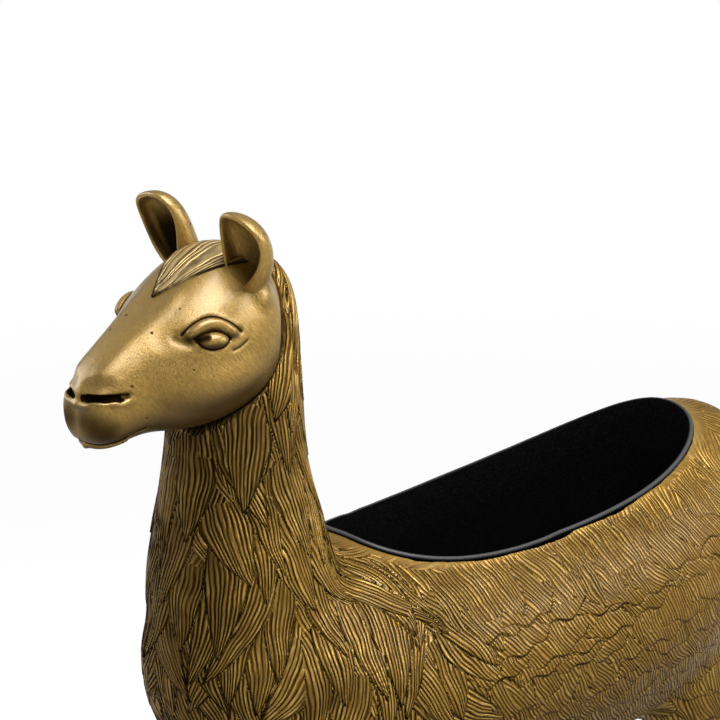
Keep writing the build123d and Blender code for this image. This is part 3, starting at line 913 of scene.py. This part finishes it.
class PLANTER_OT_fleece(bpy.types.Operator):
    """Cast the torso, neck, legs and tail as one skin and carve the locks of fleece into it"""

    bl_idname = "planter.fleece"
    bl_label = "Carved fleece"

    def execute(self, context):
        settings = context.scene.planter_fleece
        cast = casting_mesh("figure_casting", SKIN_NODES, settings.skin_voxel, 28)
        inner = inner_faces(cast)
        surface = Surface(cast, inner)
        self.lining(cast, inner)
        chance = random.Random(settings.seed)
        locks = scatter(surface, settings, chance) + flank_rows(surface, settings, chance)
        names = sorted({fleece_piece(lock.root) for lock in locks})
        carved = self.carve(cast, inner, Relief(locks, surface), settings,
                            [names.index(fleece_piece(l.root)) for l in locks])
        self.part(context, carved, names)
        return {"FINISHED"}

    def lining(self, cast, inner):
        """The casting's inner faces, seen when the liner is lifted out; their edge laps under the fleece."""
        bm = bmesh.new()
        bm.from_mesh(cast)
        bm.faces.ensure_lookup_table()
        lapped = {f.index for i in inner for v in bm.faces[i].verts for f in v.link_faces}
        bmesh.ops.delete(bm, geom=[f for f in bm.faces if f.index not in lapped], context="FACES")
        mesh = mesh_from(bm, "casting_lining")
        points = np.array([v.co[:] for v in mesh.vertices])
        normals = np.array([v.normal[:] for v in mesh.vertices])
        self.fit_rim(points)
        points -= normals * LINING_SINK
        mesh.vertices.foreach_set("co", points.astype(np.float32).ravel())
        mesh.update()
        add_object("casting_lining", mesh, material("skin"), FIGURE, SKIN_NODES)

    def carve(self, cast, inner, relief, settings, piece_of_lock):
        """The casting's outer faces, made fine and carved."""
        bm = bmesh.new()
        bm.from_mesh(cast)
        bmesh.ops.delete(bm, geom=[f for f in bm.faces if f.index in inner], context="FACES")
        rough = bpy.data.objects.new("fleece", mesh_from(bm, "fleece"))
        bpy.context.scene.collection.objects.link(rough)
        fine = rough.modifiers.new("Fine", "SUBSURF")
        fine.levels = fine.render_levels = 2
        graph = bpy.context.evaluated_depsgraph_get()
        mesh = bpy.data.meshes.new_from_object(rough.evaluated_get(graph))
        bpy.data.objects.remove(rough)
        points = np.empty(len(mesh.vertices) * 3)
        mesh.vertices.foreach_get("co", points)
        points = points.reshape(-1, 3)
        normals = np.empty(len(points) * 3)
        mesh.vertex_normals.foreach_get("vector", normals)
        normals = normals.reshape(-1, 3)
        corners = np.empty(len(mesh.loops), int)
        mesh.loops.foreach_get("vertex_index", corners)
        faces = corners.reshape(-1, 4)

        self.fit_rim(points)
        owner = relief.cover(points, normals)
        strand, along, edge, across = self.read(relief, points, owner, settings)
        comb = combed_share(points)
        rise = settings.lift * (0.45 + 0.55 * along) * (1 - 0.35 * across * across)
        rise += settings.strand_height * (np.abs(np.sin(np.pi * strand)) - 0.6)
        rise -= settings.lift * 0.35 * (1 - soft_step(0.1 * MM, 0.9 * MM, edge))
        points += normals * ((rise - 0.55 * settings.lift) * comb)[:, None]

        face_owner = relief.cover(points[faces].mean(1), normals[faces].mean(1))
        corner_owner = np.repeat(face_owner, 4)
        strand, along, edge, across = self.read(relief, points[corners], corner_owner, settings)
        self.write(mesh, points, comb, np.c_[strand, along], np.c_[edge / MM, across],
                   relief.shade[face_owner], np.array(piece_of_lock)[face_owner])
        return mesh

    def fit_rim(self, points):
        """Bring the points beside the opening back to the torso's own edge."""
        node = frame["nodes"]["torso_shell"].data
        tree = BVHTree.FromPolygons([v.co for v in node.vertices], [p.vertices for p in node.polygons])
        share = rim_share(points)
        for i in np.nonzero(share < 1.14)[0]:
            place = np.array(tree.find_nearest(Vector(points[i]))[0])
            points[i] += (place - points[i]) * (1 - smooth(1.06, 1.14, share[i]))

    def read(self, relief, points, owner, settings):
        """Each point's strand count, share along its lock, distance to its edge and share across it."""
        along, across = relief.local(points, owner)
        along = np.clip(along, 0, 1)
        half = np.maximum(relief.outline(along, owner), 0.5 * MM)
        straight = np.minimum(relief.blunt[owner], 1)
        taper = straight + (1 - straight) * (0.35 + 0.65 * half / relief.half[owner])
        counted = across * (relief.lean[owner] == 0)
        in_row = relief.lean[owner] != 0
        bow = 0.30 * relief.length[owner] * (along - 0.3) ** 2
        counted += (((points - relief.root[owner]) * relief.comb[owner]).sum(-1) + bow) * in_row
        shade = relief.shade[owner]
        sway = 0.30 * np.sin(along * 5 + shade * 40) + 0.12 * np.sin(along * 12 + shade * 90)
        strand = counted / (settings.strand_width * taper * np.where(in_row, 0.84, 1.0)) + sway + shade * 7
        beside = half - np.abs(across) + 3 * MM * in_row * (1 - soft_step(0.5, 0.8, along))
        edge = np.minimum(beside, (1 - along) * relief.length[owner])
        edge = np.where(edge < 0, 3 * MM, edge)
        return strand, along, edge, np.clip(across / half, -1, 1)

    def write(self, mesh, points, comb, strand_uv, edge_uv, shade, piece):
        """Store the carved points, the places in the locks and the piece of each face."""
        mesh.vertices.foreach_set("co", points.astype(np.float32).ravel())
        for name, values in (("lock_uv", strand_uv), ("edge_uv", edge_uv)):
            layer = mesh.uv_layers.new(name=name)
            layer.uv.foreach_set("vector", values.astype(np.float32).ravel())
        layer = mesh.attributes.new("lock", "FLOAT", "FACE")
        layer.data.foreach_set("value", shade.astype(np.float32))
        layer = mesh.attributes.new("comb", "FLOAT", "POINT")
        layer.data.foreach_set("value", comb.astype(np.float32))
        mesh.polygons.foreach_set("material_index", piece.astype(np.int32))
        mesh.polygons.foreach_set("use_smooth", np.ones(len(piece), bool))
        mesh.update()

    def part(self, context, mesh, names):
        """Part the carved sheet into pieces along the edges of the locks."""
        whole = bpy.data.objects.new("fleece", mesh)
        context.scene.collection.objects.link(whole)
        for name in names:
            mesh.materials.append(bpy.data.materials.new("part " + name))
        for other in context.view_layer.objects:
            other.select_set(other == whole)
        context.view_layer.objects.active = whole
        bpy.ops.object.mode_set(mode="EDIT")
        bpy.ops.mesh.select_all(action="SELECT")
        bpy.ops.mesh.separate(type="MATERIAL")
        bpy.ops.object.mode_set(mode="OBJECT")
        for piece in list(context.selected_objects):
            marker = piece.data.materials[piece.data.polygons[0].material_index]
            piece.name = piece.data.name = marker.name.removeprefix("part ")
            piece.data.polygons.foreach_set("material_index", np.zeros(len(piece.data.polygons), np.int32))
            piece.data.materials.clear()
            piece.data.materials.append(material("fleece"))
            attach(piece, FIGURE)
        for name in names:
            bpy.data.materials.remove(bpy.data.materials["part " + name])


# The head

EYE_UPPER = ((-43.7, -27.8, 53.8), (-39.7, -29.1, 55.9), (-34.6, -30.9, 56.7),
             (-30.4, -32.0, 54.9), (-26.7, -32.2, 51.8))
EYE_LOWER = ((-43.7, -27.8, 53.8), (-40.0, -29.3, 50.2), (-35.6, -31.0, 48.4),
             (-30.1, -32.0, 49.3), (-26.7, -32.2, 51.8))
LID_CREASE = ((-46.5, -22.4, 55.6), (-40.5, -24.3, 60.1), (-33.4, -26.9, 61.9),
              (-26.8, -30.4, 59.1), (-20.7, -32.0, 54.2))
LID_BAND = ((-43.5, -26.0, 55.5), (-37.0, -27.5, 59.2), (-31.0, -29.5, 58.8), (-25.5, -31.5, 55.2))
EYE_BALL = ((-38.5, -30.0, 52.6), (-35.2, -31.0, 52.6), (-31.8, -31.5, 52.2))
OUTER_CREASE = ((-26.0, -32.5, 46.6), (-22.3, -32.6, 47.4), (-17.7, -32.6, 49.7))
EYE_SHADE = ((-42.5, -28.3, 53.4), (-40.5, -29.3, 54.0), (-38.5, -30.2, 54.4))
INNER_HOLLOW = ((-44.5, -27.0, 53.0), (-46.5, -24.5, 53.4), (-48.5, -21.5, 54.4))
NOSTRIL = ((-86.4, -2.6, 30.5), (-83.0, -9.5, 30.5), (-79.0, -13.5, 30.6), (-75.0, -15.6, 30.9))
NOSTRIL_LIP = ((-87.0, 0.0, 27.4), (-85.8, -6.5, 27.6), (-82.0, -12.2, 28.2), (-77.0, -15.6, 29.6))
NOSTRIL_HOLLOW = ((-83.0, -6.0, 35.0), (-79.0, -11.0, 35.5))
SOCKET = ((-45.0, -25.5, 54.0), (-48.0, -22.0, 54.0), (-51.5, -18.5, 53.0))
BRIDGE_EDGE = ((-45.0, -11.0, 73.0), (-58.0, -11.5, 61.0), (-70.0, -11.0, 51.0), (-80.0, -9.0, 42.0))
NOSTRIL_SLOT = -73.0, 2.4, 29.3, 32.4
NOSTRIL_CORNER = ((-78.0, -14.2, 28.4), (-74.5, -15.8, 28.9), (-70.5, -17.3, 29.8))
MOUTH = ((-85.8, 0.0, 9.2), (-84.0, -6.0, 8.8), (-78.5, -10.8, 8.4),
         (-70.0, -13.4, 9.4), (-61.5, -16.6, 13.0))
CHEEK = ((-52.0, -24.0, 34.0), (-36.0, -30.0, 30.0), (-18.0, -32.0, 32.0))
# Painted shade under the muzzle
CHIN_PAINTED_SHADE = ((-86.0, -6.0, 20.0), (-83.5, -9.5, 19.0), (-80.5, -12.0, 17.0))
LOWER_LIP = ((-84.0, 0.0, 5.6), (-82.0, -6.0, 5.2), (-77.0, -10.5, 5.0), (-69.0, -13.0, 6.4))

# The strokes in the order they are made: path, width, height, darkness (patina in the carved lines, painted
# shade in the soft hollows, under the chin and under the upper lid) and power of the fall-off
STROKES = (
    (CHEEK, 13, 1.2, 0.0, 2.0),
    # Painted shade under the muzzle, with no carving
    (CHIN_PAINTED_SHADE, 10.5, 0.0, 0.64, 1.0),
    (BRIDGE_EDGE, 7, 0.6, 0.0, 2.0),
    # The socket, the inner corner of the eye and the hollow over the nostril are carved a little and given
    # painted shade
    (SOCKET, 9, -0.6, 0.3, 2.0),
    (INNER_HOLLOW, 4.4, -0.5, 0.6, 1.6),
    (NOSTRIL_HOLLOW, 6, -1.0, 0.3, 2.0),
    (LID_BAND, 4.6, 2.2, 0.0, 2.0),
    (EYE_BALL, 5.0, 2.4, 0.0, 2.0),
    (LID_CREASE, 1.1, -1.2, 1.0, 0.8),
    # Painted shade on the eyeball under the upper lid, with no carving
    (EYE_SHADE, 2.3, 0.0, 0.9, 0.9),
    (EYE_UPPER, 1.0, -1.2, 1.0, 0.8),
    (EYE_LOWER, 0.95, -1.1, 1.0, 0.8),
    (OUTER_CREASE, 0.8, -0.7, 0.8, 1.0),
    (NOSTRIL_LIP, 1.8, 1.0, 0.0, 2.0),
    (NOSTRIL, 1.3, -1.4, 1.0, 0.8),
    (NOSTRIL_CORNER, 2.8, 0.9, 0.0, 2.0),
    (LOWER_LIP, 2.4, 0.9, 0.0, 2.0),
    (MOUTH, 1.2, -1.0, 1.0, 1.0),
)


def path_samples(points, side, step=0.4):
    """A smooth path through points in millimetres, on one side of the face, as close samples in metres."""
    row = [Vector((x, y * -SIDES[side], z)) for x, y, z in points]
    ends = [row[0] * 2 - row[1], *row, row[-1] * 2 - row[-2]]
    samples = []
    for i in range(1, len(ends) - 2):
        a, b, c, d = ends[i - 1:i + 3]
        count = max(2, int((c - b).length / step))
        for k in range(count):
            t = k / count
            samples.append(0.5 * (2 * b + (c - a) * t + (2 * a - 5 * b + 4 * c - d) * t ** 2
                                  + (3 * b - a - 3 * c + d) * t ** 3))
    samples.append(row[-1])
    return [face_point(*p) for p in samples]


class Sculpt:
    """Moves a mesh's points along their normals near paths, and remembers where the patina and the painted
    shade gather.
    """

    def __init__(self, mesh):
        self.mesh = mesh
        self.normals = np.array([v.normal[:] for v in mesh.vertices])
        self.points = np.array([v.co[:] for v in mesh.vertices])
        self.rest = self.points.copy()
        self.patina = np.zeros(len(self.points))
        self.surface = BVHTree.FromPolygons([v.co for v in mesh.vertices],
                                            [p.vertices for p in mesh.polygons])

    def stroke(self, points, width, height, dark, power):
        """Raise or carve along a path on both sides of the face; width and height are in millimetres."""
        for side in SIDES:
            tree_points = [self.surface.find_nearest(p)[0] for p in path_samples(points, side)]
            tree = KDTree(len(tree_points))
            for i, p in enumerate(tree_points):
                tree.insert(p, i)
            tree.balance()
            low = np.min(np.array(tree_points), axis=0) - width * MM
            high = np.max(np.array(tree_points), axis=0) + width * MM
            inside = np.all((self.rest > low) & (self.rest < high), axis=1)
            for i in np.nonzero(inside)[0]:
                gap = tree.find(Vector(self.rest[i]))[2] / (width * MM)
                if gap < 1:
                    weight = (1 - gap ** 2) ** power
                    self.points[i] += self.normals[i] * (height * MM * weight)
                    self.patina[i] = max(self.patina[i], dark * weight)

    def darken(self, slot):
        """Fill a slot across the muzzle with patina, given its rear end, bridge, lower and upper edge."""
        back, bridge, low, high = slot
        x, y, z = ((self.rest - np.array(face_point(0, 0, 0))) / MM).T
        self.patina[(x < back) & (np.abs(y) > bridge) & (z > low) & (z < high)] = 1.0

    def store(self):
        """Write the points, the patina and the painted shade back to the mesh, and soften the strokes a
        little.
        """
        self.mesh.vertices.foreach_set("co", self.points.astype(np.float32).ravel())
        layer = self.mesh.attributes.new("patina", "FLOAT", "POINT")
        layer.data.foreach_set("value", np.clip(self.patina, 0, 1).astype(np.float32))
        bm = bmesh.new()
        bm.from_mesh(self.mesh)
        for _ in range(4):
            bmesh.ops.smooth_vert(bm, verts=bm.verts, factor=0.35,
                                  use_axis_x=True, use_axis_y=True, use_axis_z=True)
        bm.to_mesh(self.mesh)
        bm.free()
        self.mesh.update()


class PLANTER_OT_head(bpy.types.Operator):
    """Sculpt the smooth head: eyes, lids, nostrils and mouth"""

    bl_idname = "planter.head"
    bl_label = "Head"

    def execute(self, context):
        settings = context.scene.planter_face
        mounds = [(face_point(-6, side * 21.5, 64.5), 10 * MM) for side in SIDES.values()]
        mesh = casting_mesh("head_casting", ["head"], settings.head_voxel, 70, mounds)
        clay = Sculpt(mesh)
        for path, width, height, dark, power in STROKES:
            clay.stroke(path, width, height, dark, power)
        clay.darken(NOSTRIL_SLOT)
        clay.store()
        add_object("head_casting", mesh, material("face"), FIGURE, ["head"])
        self.forelock(settings, mesh)
        return {"FINISHED"}

    def forelock(self, settings, mesh):
        """The combed patch of hair on the forehead, pointed at the front, its edge sunk into the head."""
        surface = Surface(mesh, {p.index for p in mesh.polygons if p.normal.z <= 0.1})
        bm = bmesh.new()
        strand_layer = bm.loops.layers.uv.new("lock_uv")
        edge_layer = bm.loops.layers.uv.new("edge_uv")
        shade_layer = bm.verts.layers.float.new("lock")
        comb_layer = bm.verts.layers.float.new("comb")
        columns, rows = 23, 25
        made = bmesh.ops.create_grid(bm, x_segments=columns - 1, y_segments=rows - 1, size=0.5)["verts"]
        marks = {}
        for row in range(rows):
            along = min(1.0, row / (rows - 2))
            half = settings.forelock_width / 2 * max(0.02, (1 - along ** 1.5) ** 0.9)
            for column in range(columns):
                across = max(-1.0, min(1.0, (column - (columns - 1) / 2) / ((columns - 3) / 2)))
                start = face_point(12, 0, 86) - Vector((settings.forelock_length * along, 0, 0))
                fall = -0.35 * settings.forelock_length * along
                ground, up = surface.touch(start + Vector((0, half * across, fall)))
                sunk = column in (0, columns - 1) or row in (0, rows - 1)
                vert = made[row * columns + column]
                strand = across * half / (3.8 * MM * (0.30 + 0.70 * half * 2 / settings.forelock_width))
                strand += 1.2 * math.sin(along * 2.2) + 0.35 * math.sin(across * 8)
                rise = 0.7 * MM * (1 - 0.3 * across ** 2) + 0.4 * MM * abs(math.sin(math.pi * strand))
                vert.co = ground + up * (-1.2 * MM if sunk else rise)
                vert[shade_layer] = FORELOCK_MARK
                vert[comb_layer] = 0.85
                marks[vert] = (strand, max(0.5, along)), (half / MM * (1 - abs(across)), across)
        for face in bm.faces:
            for loop in face.loops:
                loop[strand_layer].uv, loop[edge_layer].uv = marks[loop.vert]
        bmesh.ops.contextual_create(bm, geom=[e for e in bm.edges if e.is_boundary])
        bmesh.ops.recalc_face_normals(bm, faces=bm.faces)
        add_object("forelock", mesh_from(bm, "forelock"), material("fleece"), FIGURE)


# The ears

# Rows up an ear: height, forward curl, width and depth as shares of the ear's, and half wrap in degrees
EAR_ROWS = ((-0.38, 0.00, 0.40, 0.46, 170), (-0.14, 0.00, 0.60, 0.72, 168), (0.06, 0.00, 0.76, 0.88, 158),
            (0.25, 0.00, 0.92, 0.98, 138), (0.48, 0.01, 1.04, 1.00, 118), (0.70, 0.03, 1.06, 0.94, 108),
            (0.86, 0.07, 0.92, 0.80, 104), (0.96, 0.11, 0.62, 0.54, 100), (1.00, 0.15, 0.20, 0.20, 100))
EAR_COLUMNS = 9
# Painted shade in each ear's cup, much darker in the right ear: strength, and the depths where it is full and
# gone
EAR_CUP_SHADE = {"left": (0.32, -0.45, -0.05), "right": (0.78, -0.05, 0.60)}


class PLANTER_OT_ears(bpy.types.Operator):
    """Make the two cupped ears as curved sheets with rounded rims"""

    bl_idname = "planter.ears"
    bl_label = "Ears"

    def execute(self, context):
        for side in SIDES:
            self.ear(context.scene.planter_face, side)
        return {"FINISHED"}

    def ear(self, settings, side):
        """One ear, from a grid bent into a cup."""
        sign = SIDES[side]
        root = face_point(-7.8, sign * 23.0, 70.0)
        rise = Vector((-math.sin(settings.ear_lean), sign * math.sin(settings.ear_splay),
                       math.cos(settings.ear_lean))).normalized()
        facing = Vector((-math.cos(settings.ear_turn), sign * math.sin(settings.ear_turn), 0))
        facing = (facing - rise * facing.dot(rise)).normalized()
        across = facing.cross(rise)
        bm = bmesh.new()
        patina = bm.verts.layers.float.new("patina")
        bare = bm.verts.layers.float.new("bare")
        made = bmesh.ops.create_grid(bm, x_segments=EAR_COLUMNS - 1, y_segments=len(EAR_ROWS) - 1,
                                     size=0.5)["verts"]
        inward = Vector((0, -sign, 0))
        for row, (up, curl, wide, deep, wrap) in enumerate(EAR_ROWS):
            middle = root + inward * (max(0.0, 0.2 - up) * 0.55 * settings.ear_length)
            for column in range(EAR_COLUMNS):
                turn = (2 * column / (EAR_COLUMNS - 1) - 1) * math.radians(wrap)
                vert = made[row * EAR_COLUMNS + column]
                vert.co = (middle + rise * (up * settings.ear_length) + facing * (curl * settings.ear_length)
                           + across * (math.sin(turn) * wide * settings.ear_width / 2)
                           - facing * (math.cos(turn) * deep * settings.ear_depth / 2))
        tip = made[-EAR_COLUMNS:]
        bmesh.ops.pointmerge(bm, verts=tip, merge_co=sum((v.co for v in tip), Vector()) / EAR_COLUMNS)
        bmesh.ops.recalc_face_normals(bm, faces=bm.faces)
        if bm.faces[:][0].normal.dot(facing) < 0:
            bmesh.ops.reverse_faces(bm, faces=bm.faces)
        cup = list(bm.faces)
        wash, deepest, shallowest = EAR_CUP_SHADE[side]
        bmesh.ops.solidify(bm, geom=cup, thickness=settings.ear_thickness)
        bmesh.ops.recalc_face_normals(bm, faces=bm.faces)
        # Painted shade low and deep in each cup's hollow; the ears are kept out of the face's painted shade
        # on faces that look down
        for vert in bm.verts:
            away = vert.co - root
            hollow = vert.normal.dot(facing) > 0.1 and abs(away.dot(across)) < 0.42 * settings.ear_width
            low = 1 - smooth(0.50, 0.95, away.dot(rise) / settings.ear_length)
            deep = 1 - smooth(deepest, shallowest, away.dot(facing) / settings.ear_depth)
            vert[patina] = wash * low * deep if hollow else 0.0
            vert[bare] = 1.0
        mesh = mesh_from(bm, f"{side}_ear_cup")
        piece = add_object(f"{side}_ear_cup", mesh, material("face"), FIGURE, [f"{side}_ear"])
        soften = piece.modifiers.new("Soften", "SUBSURF")
        soften.levels = soften.render_levels = 2


# The liner

LINER_SEGMENTS = 160
# The rolled lip: millimetres outward and up, and how much grey painted highlight it has there
LIP_PROFILE = ((3.0, 0.05), (3.3, 0.6), (3.1, 1.4), (2.4, 2.0), (1.5, 2.1), (0.7, 1.7), (0.1, 1.0),
               (-0.4, 0.2))
LIP_HIGHLIGHT = 0.0, 0.0, 0.35, 1.0, 0.6, 0.0, 0.0, 0.0
# Small dents in the lip: the step round it and the depth in millimetres
LIP_DENTS = (56, 0.8), (118, 0.9)
LIP_DENT_STEPS = 1.6
WALL_RISES = (0.93, 0.75, 0.5, 0.25, 0.08)
FLOOR_INSETS = (0.97, 0.90, 0.6, 0.2)
LINER_FLOOR_SHARES = 0.80, 0.70


class PLANTER_OT_liner(bpy.types.Operator):
    """Make the black tub with its rolled lip, which follows the back round the opening"""

    bl_idname = "planter.liner"
    bl_label = "Plant liner"

    def execute(self, context):
        back = self.back_heights()
        floor = liner_low.z
        wall = 2 * MM
        bm = bmesh.new()
        # The lip layer holds the painted highlight along the top of the lip
        worn = bm.verts.layers.float.new("lip")
        lip_start = len(FLOOR_INSETS) + len(WALL_RISES)
        rings = []
        for inset in reversed(FLOOR_INSETS):
            rings.append([self.spot(i, inset, 0.0, floor, 0.0, back) for i in range(LINER_SEGMENTS)])
        for rise in reversed(WALL_RISES):
            rings.append([self.spot(i, 1.0, rise, floor, 0.0, back) for i in range(LINER_SEGMENTS)])
        for out, up in LIP_PROFILE:
            rings.append([self.lip(i, out, up, back) for i in range(LINER_SEGMENTS)])
        for rise in WALL_RISES:
            rings.append([self.spot(i, 1.0, rise, floor, -wall, back) for i in range(LINER_SEGMENTS)])
        for inset in FLOOR_INSETS:
            rings.append([self.spot(i, inset, 0.0, floor + wall, -wall, back)
                          for i in range(LINER_SEGMENTS)])
        first = bmesh.ops.create_circle(bm, segments=LINER_SEGMENTS, radius=1.0, cap_ends=True)["verts"]
        loop = list(first)
        for vert, place in zip(loop, rings[0]):
            vert.co = place
        edges = list(bm.edges)
        for step_up, ring in enumerate(rings[1:], 1):
            grown = bmesh.ops.extrude_edge_only(bm, edges=edges)["geom"]
            edges = [g for g in grown if isinstance(g, bmesh.types.BMEdge)
                     and all(v not in loop for v in g.verts)]
            step = {v: next(e.other_vert(v) for e in v.link_edges if e.other_vert(v) in loop)
                    for v in {v for e in edges for v in e.verts}}
            order = {old: new for new, old in step.items()}
            loop = [order[old] for old in loop]
            on_lip = 0 <= step_up - lip_start < len(LIP_HIGHLIGHT)
            for vert, place in zip(loop, ring):
                vert.co = place
                vert[worn] = LIP_HIGHLIGHT[step_up - lip_start] if on_lip else 0.0
        bmesh.ops.contextual_create(bm, geom=edges)
        bmesh.ops.recalc_face_normals(bm, faces=bm.faces)
        add_object("liner_tub", mesh_from(bm, "liner_tub"), material("liner"), LINER,
                   ["planter_liner"])
        return {"FINISHED"}

    def direction(self, i):
        """Where the opening's oval passes at a step round it."""
        turn = math.tau * i / LINER_SEGMENTS
        a, b = math.cos(turn), math.sin(turn)
        return tuple(math.copysign(abs(c) ** (2 / OPENING_POWER), c) for c in (a, b))

    def back_heights(self):
        """The back's height at each step round the lip."""
        node = frame["nodes"]["torso_shell"].data
        tree = BVHTree.FromPolygons([v.co for v in node.vertices], [p.vertices for p in node.polygons])
        heights = []
        for i in range(LINER_SEGMENTS):
            a, b = self.direction(i)
            start = Vector((OPENING_X + a * (OPENING_HALF[0] + LIP_OVERLAP),
                            b * (OPENING_HALF[1] + LIP_OVERLAP), torso_high.z + 50 * MM))
            heights.append(tree.ray_cast(start, Vector((0, 0, -1)))[0].z)
        return heights

    def spot(self, i, inset, rise, floor, grow, back):
        """A place on the tub's floor or wall."""
        a, b = self.direction(i)
        length_share = LINER_FLOOR_SHARES[0] + (1 - LINER_FLOOR_SHARES[0]) * rise
        width_share = LINER_FLOOR_SHARES[1] + (1 - LINER_FLOOR_SHARES[1]) * rise
        half_length = (OPENING_HALF[0] - 1 * MM) * length_share + grow
        half_width = (OPENING_HALF[1] - 1 * MM) * width_share + grow
        rim = back[i] - 1 * MM
        return Vector((OPENING_X + a * half_length * inset, b * half_width * inset,
                       floor + (rim - floor) * rise))

    def lip(self, i, out, up, back):
        """A place on the rolled lip, given outward from the opening's edge and up from the back."""
        a, b = self.direction(i)
        dent = sum(depth * math.exp(-((i - place) / LIP_DENT_STEPS) ** 2) for place, depth in LIP_DENTS)
        out = (out - dent) * MM
        return Vector((OPENING_X + a * (OPENING_HALF[0] + out), b * (OPENING_HALF[1] + out),
                       back[i] + up * MM))


class PLANTER_OT_hardware(bpy.types.Operator):
    """Give the felt pads and the steel dowels their finishes"""

    bl_idname = "planter.hardware"
    bl_label = "Pads and dowels"

    def execute(self, context):
        for name, node in frame["nodes"].items():
            kind = "felt" if name.endswith("foot_pad") else "steel" if name.endswith("dowel") else None
            if kind:
                node.data.materials.clear()
                node.data.materials.append(material(kind))
        return {"FINISHED"}


# The stage

# Softboxes: place, aim, size and the setting that holds the power
LAMPS = {"key_light": ((-0.05, -0.50, 1.65), (-0.05, 0.0, 0.35), 1.2, "key_power"),
         "side_light": ((1.1, -1.4, 0.95), (0.0, 0.0, 0.30), 0.9, "side_power"),
         "rim_light": ((-0.8, 1.3, 0.9), (-0.1, 0.0, 0.35), 0.9, "rim_power")}
FLOOR_SIZE = 60.0
SENSOR_WIDTH = 36


class PLANTER_OT_stage(bpy.types.Operator):
    """Set the floor, the room, the soft lights and the camera"""

    bl_idname = "planter.stage"
    bl_label = "Stage"

    def execute(self, context):
        scene = context.scene
        settings = scene.planter_stage
        self.floor()
        self.room(scene, settings)
        for name, (place, aim, size, power) in LAMPS.items():
            self.lamp(name, place, aim, size, getattr(settings, power))
        self.camera(scene, settings)
        scene.view_settings.view_transform = "Standard"
        return {"FINISHED"}

    def floor(self):
        """A wide pale floor."""
        bm = bmesh.new()
        bmesh.ops.create_grid(bm, x_segments=4, y_segments=4, size=FLOOR_SIZE)
        mesh = mesh_from(bm, "floor")
        floor = bpy.data.objects.new("floor", mesh)
        bpy.context.scene.collection.objects.link(floor)
        mesh.materials.append(paint_floor())

    def room(self, scene, settings):
        """A plain grey room."""
        world = scene.world or bpy.data.worlds.new("room")
        scene.world = world
        world.use_nodes = True
        world.node_tree.nodes.clear()
        soft = world.node_tree.nodes.new("ShaderNodeBackground")
        soft.inputs["Color"].default_value = (1, 1, 1, 1)
        soft.inputs["Strength"].default_value = settings.surround
        out = world.node_tree.nodes.new("ShaderNodeOutputWorld")
        world.node_tree.links.new(soft.outputs[0], out.inputs["Surface"])

    def lamp(self, name, place, aim, size, power):
        """A square softbox aimed at a point."""
        data = bpy.data.lights.new(name, "AREA")
        data.size = size
        data.energy = power
        lamp = bpy.data.objects.new(name, data)
        lamp.location = place
        lamp.rotation_euler = (Vector(aim) - Vector(place)).to_track_quat("-Z", "Y").to_euler()
        bpy.context.scene.collection.objects.link(lamp)

    def camera(self, scene, settings):
        """The photograph's view."""
        data = bpy.data.cameras.new("photo_camera")
        data.lens = settings.lens
        data.sensor_width = SENSOR_WIDTH
        camera = bpy.data.objects.new("photo_camera", data)
        camera.location = Vector((NECK_X, 0, JAW_MARK)) + Vector(settings.camera_offset)
        camera.rotation_euler = Euler((math.pi / 2 - settings.pitch, 0, settings.azimuth))
        scene.collection.objects.link(camera)
        scene.camera = camera


class PLANTER_PT_panel(bpy.types.Panel):
    """Lists the planter's pieces"""

    bl_label = "Llama planter"
    bl_idname = "PLANTER_PT_panel"
    bl_space_type = "VIEW_3D"
    bl_region_type = "UI"
    bl_category = "Planter"

    def draw(self, context):
        for operator in OPERATORS:
            self.layout.operator(operator.bl_idname)


OPERATORS = (PLANTER_OT_fleece, PLANTER_OT_head, PLANTER_OT_ears, PLANTER_OT_liner, PLANTER_OT_hardware,
             PLANTER_OT_stage)
SETTINGS = {"planter_fleece": FleeceSettings, "planter_face": FaceSettings, "planter_finish": FinishSettings,
            "planter_stage": StageSettings}


def register():
    """Register the settings, operators and panel."""
    for kind in (*SETTINGS.values(), *OPERATORS, PLANTER_PT_panel):
        bpy.utils.register_class(kind)
    for name, kind in SETTINGS.items():
        setattr(bpy.types.Scene, name, PointerProperty(type=kind))


def unregister():
    """Take them out again."""
    for name in SETTINGS:
        delattr(bpy.types.Scene, name)
    for kind in reversed((*SETTINGS.values(), *OPERATORS, PLANTER_PT_panel)):
        bpy.utils.unregister_class(kind)


def main():
    """Build every piece in order."""
    register()
    bpy.ops.planter.fleece()
    bpy.ops.planter.head()
    bpy.ops.planter.ears()
    bpy.ops.planter.liner()
    bpy.ops.planter.hardware()
    bpy.ops.planter.stage()


if __name__ == "__main__":
    main()
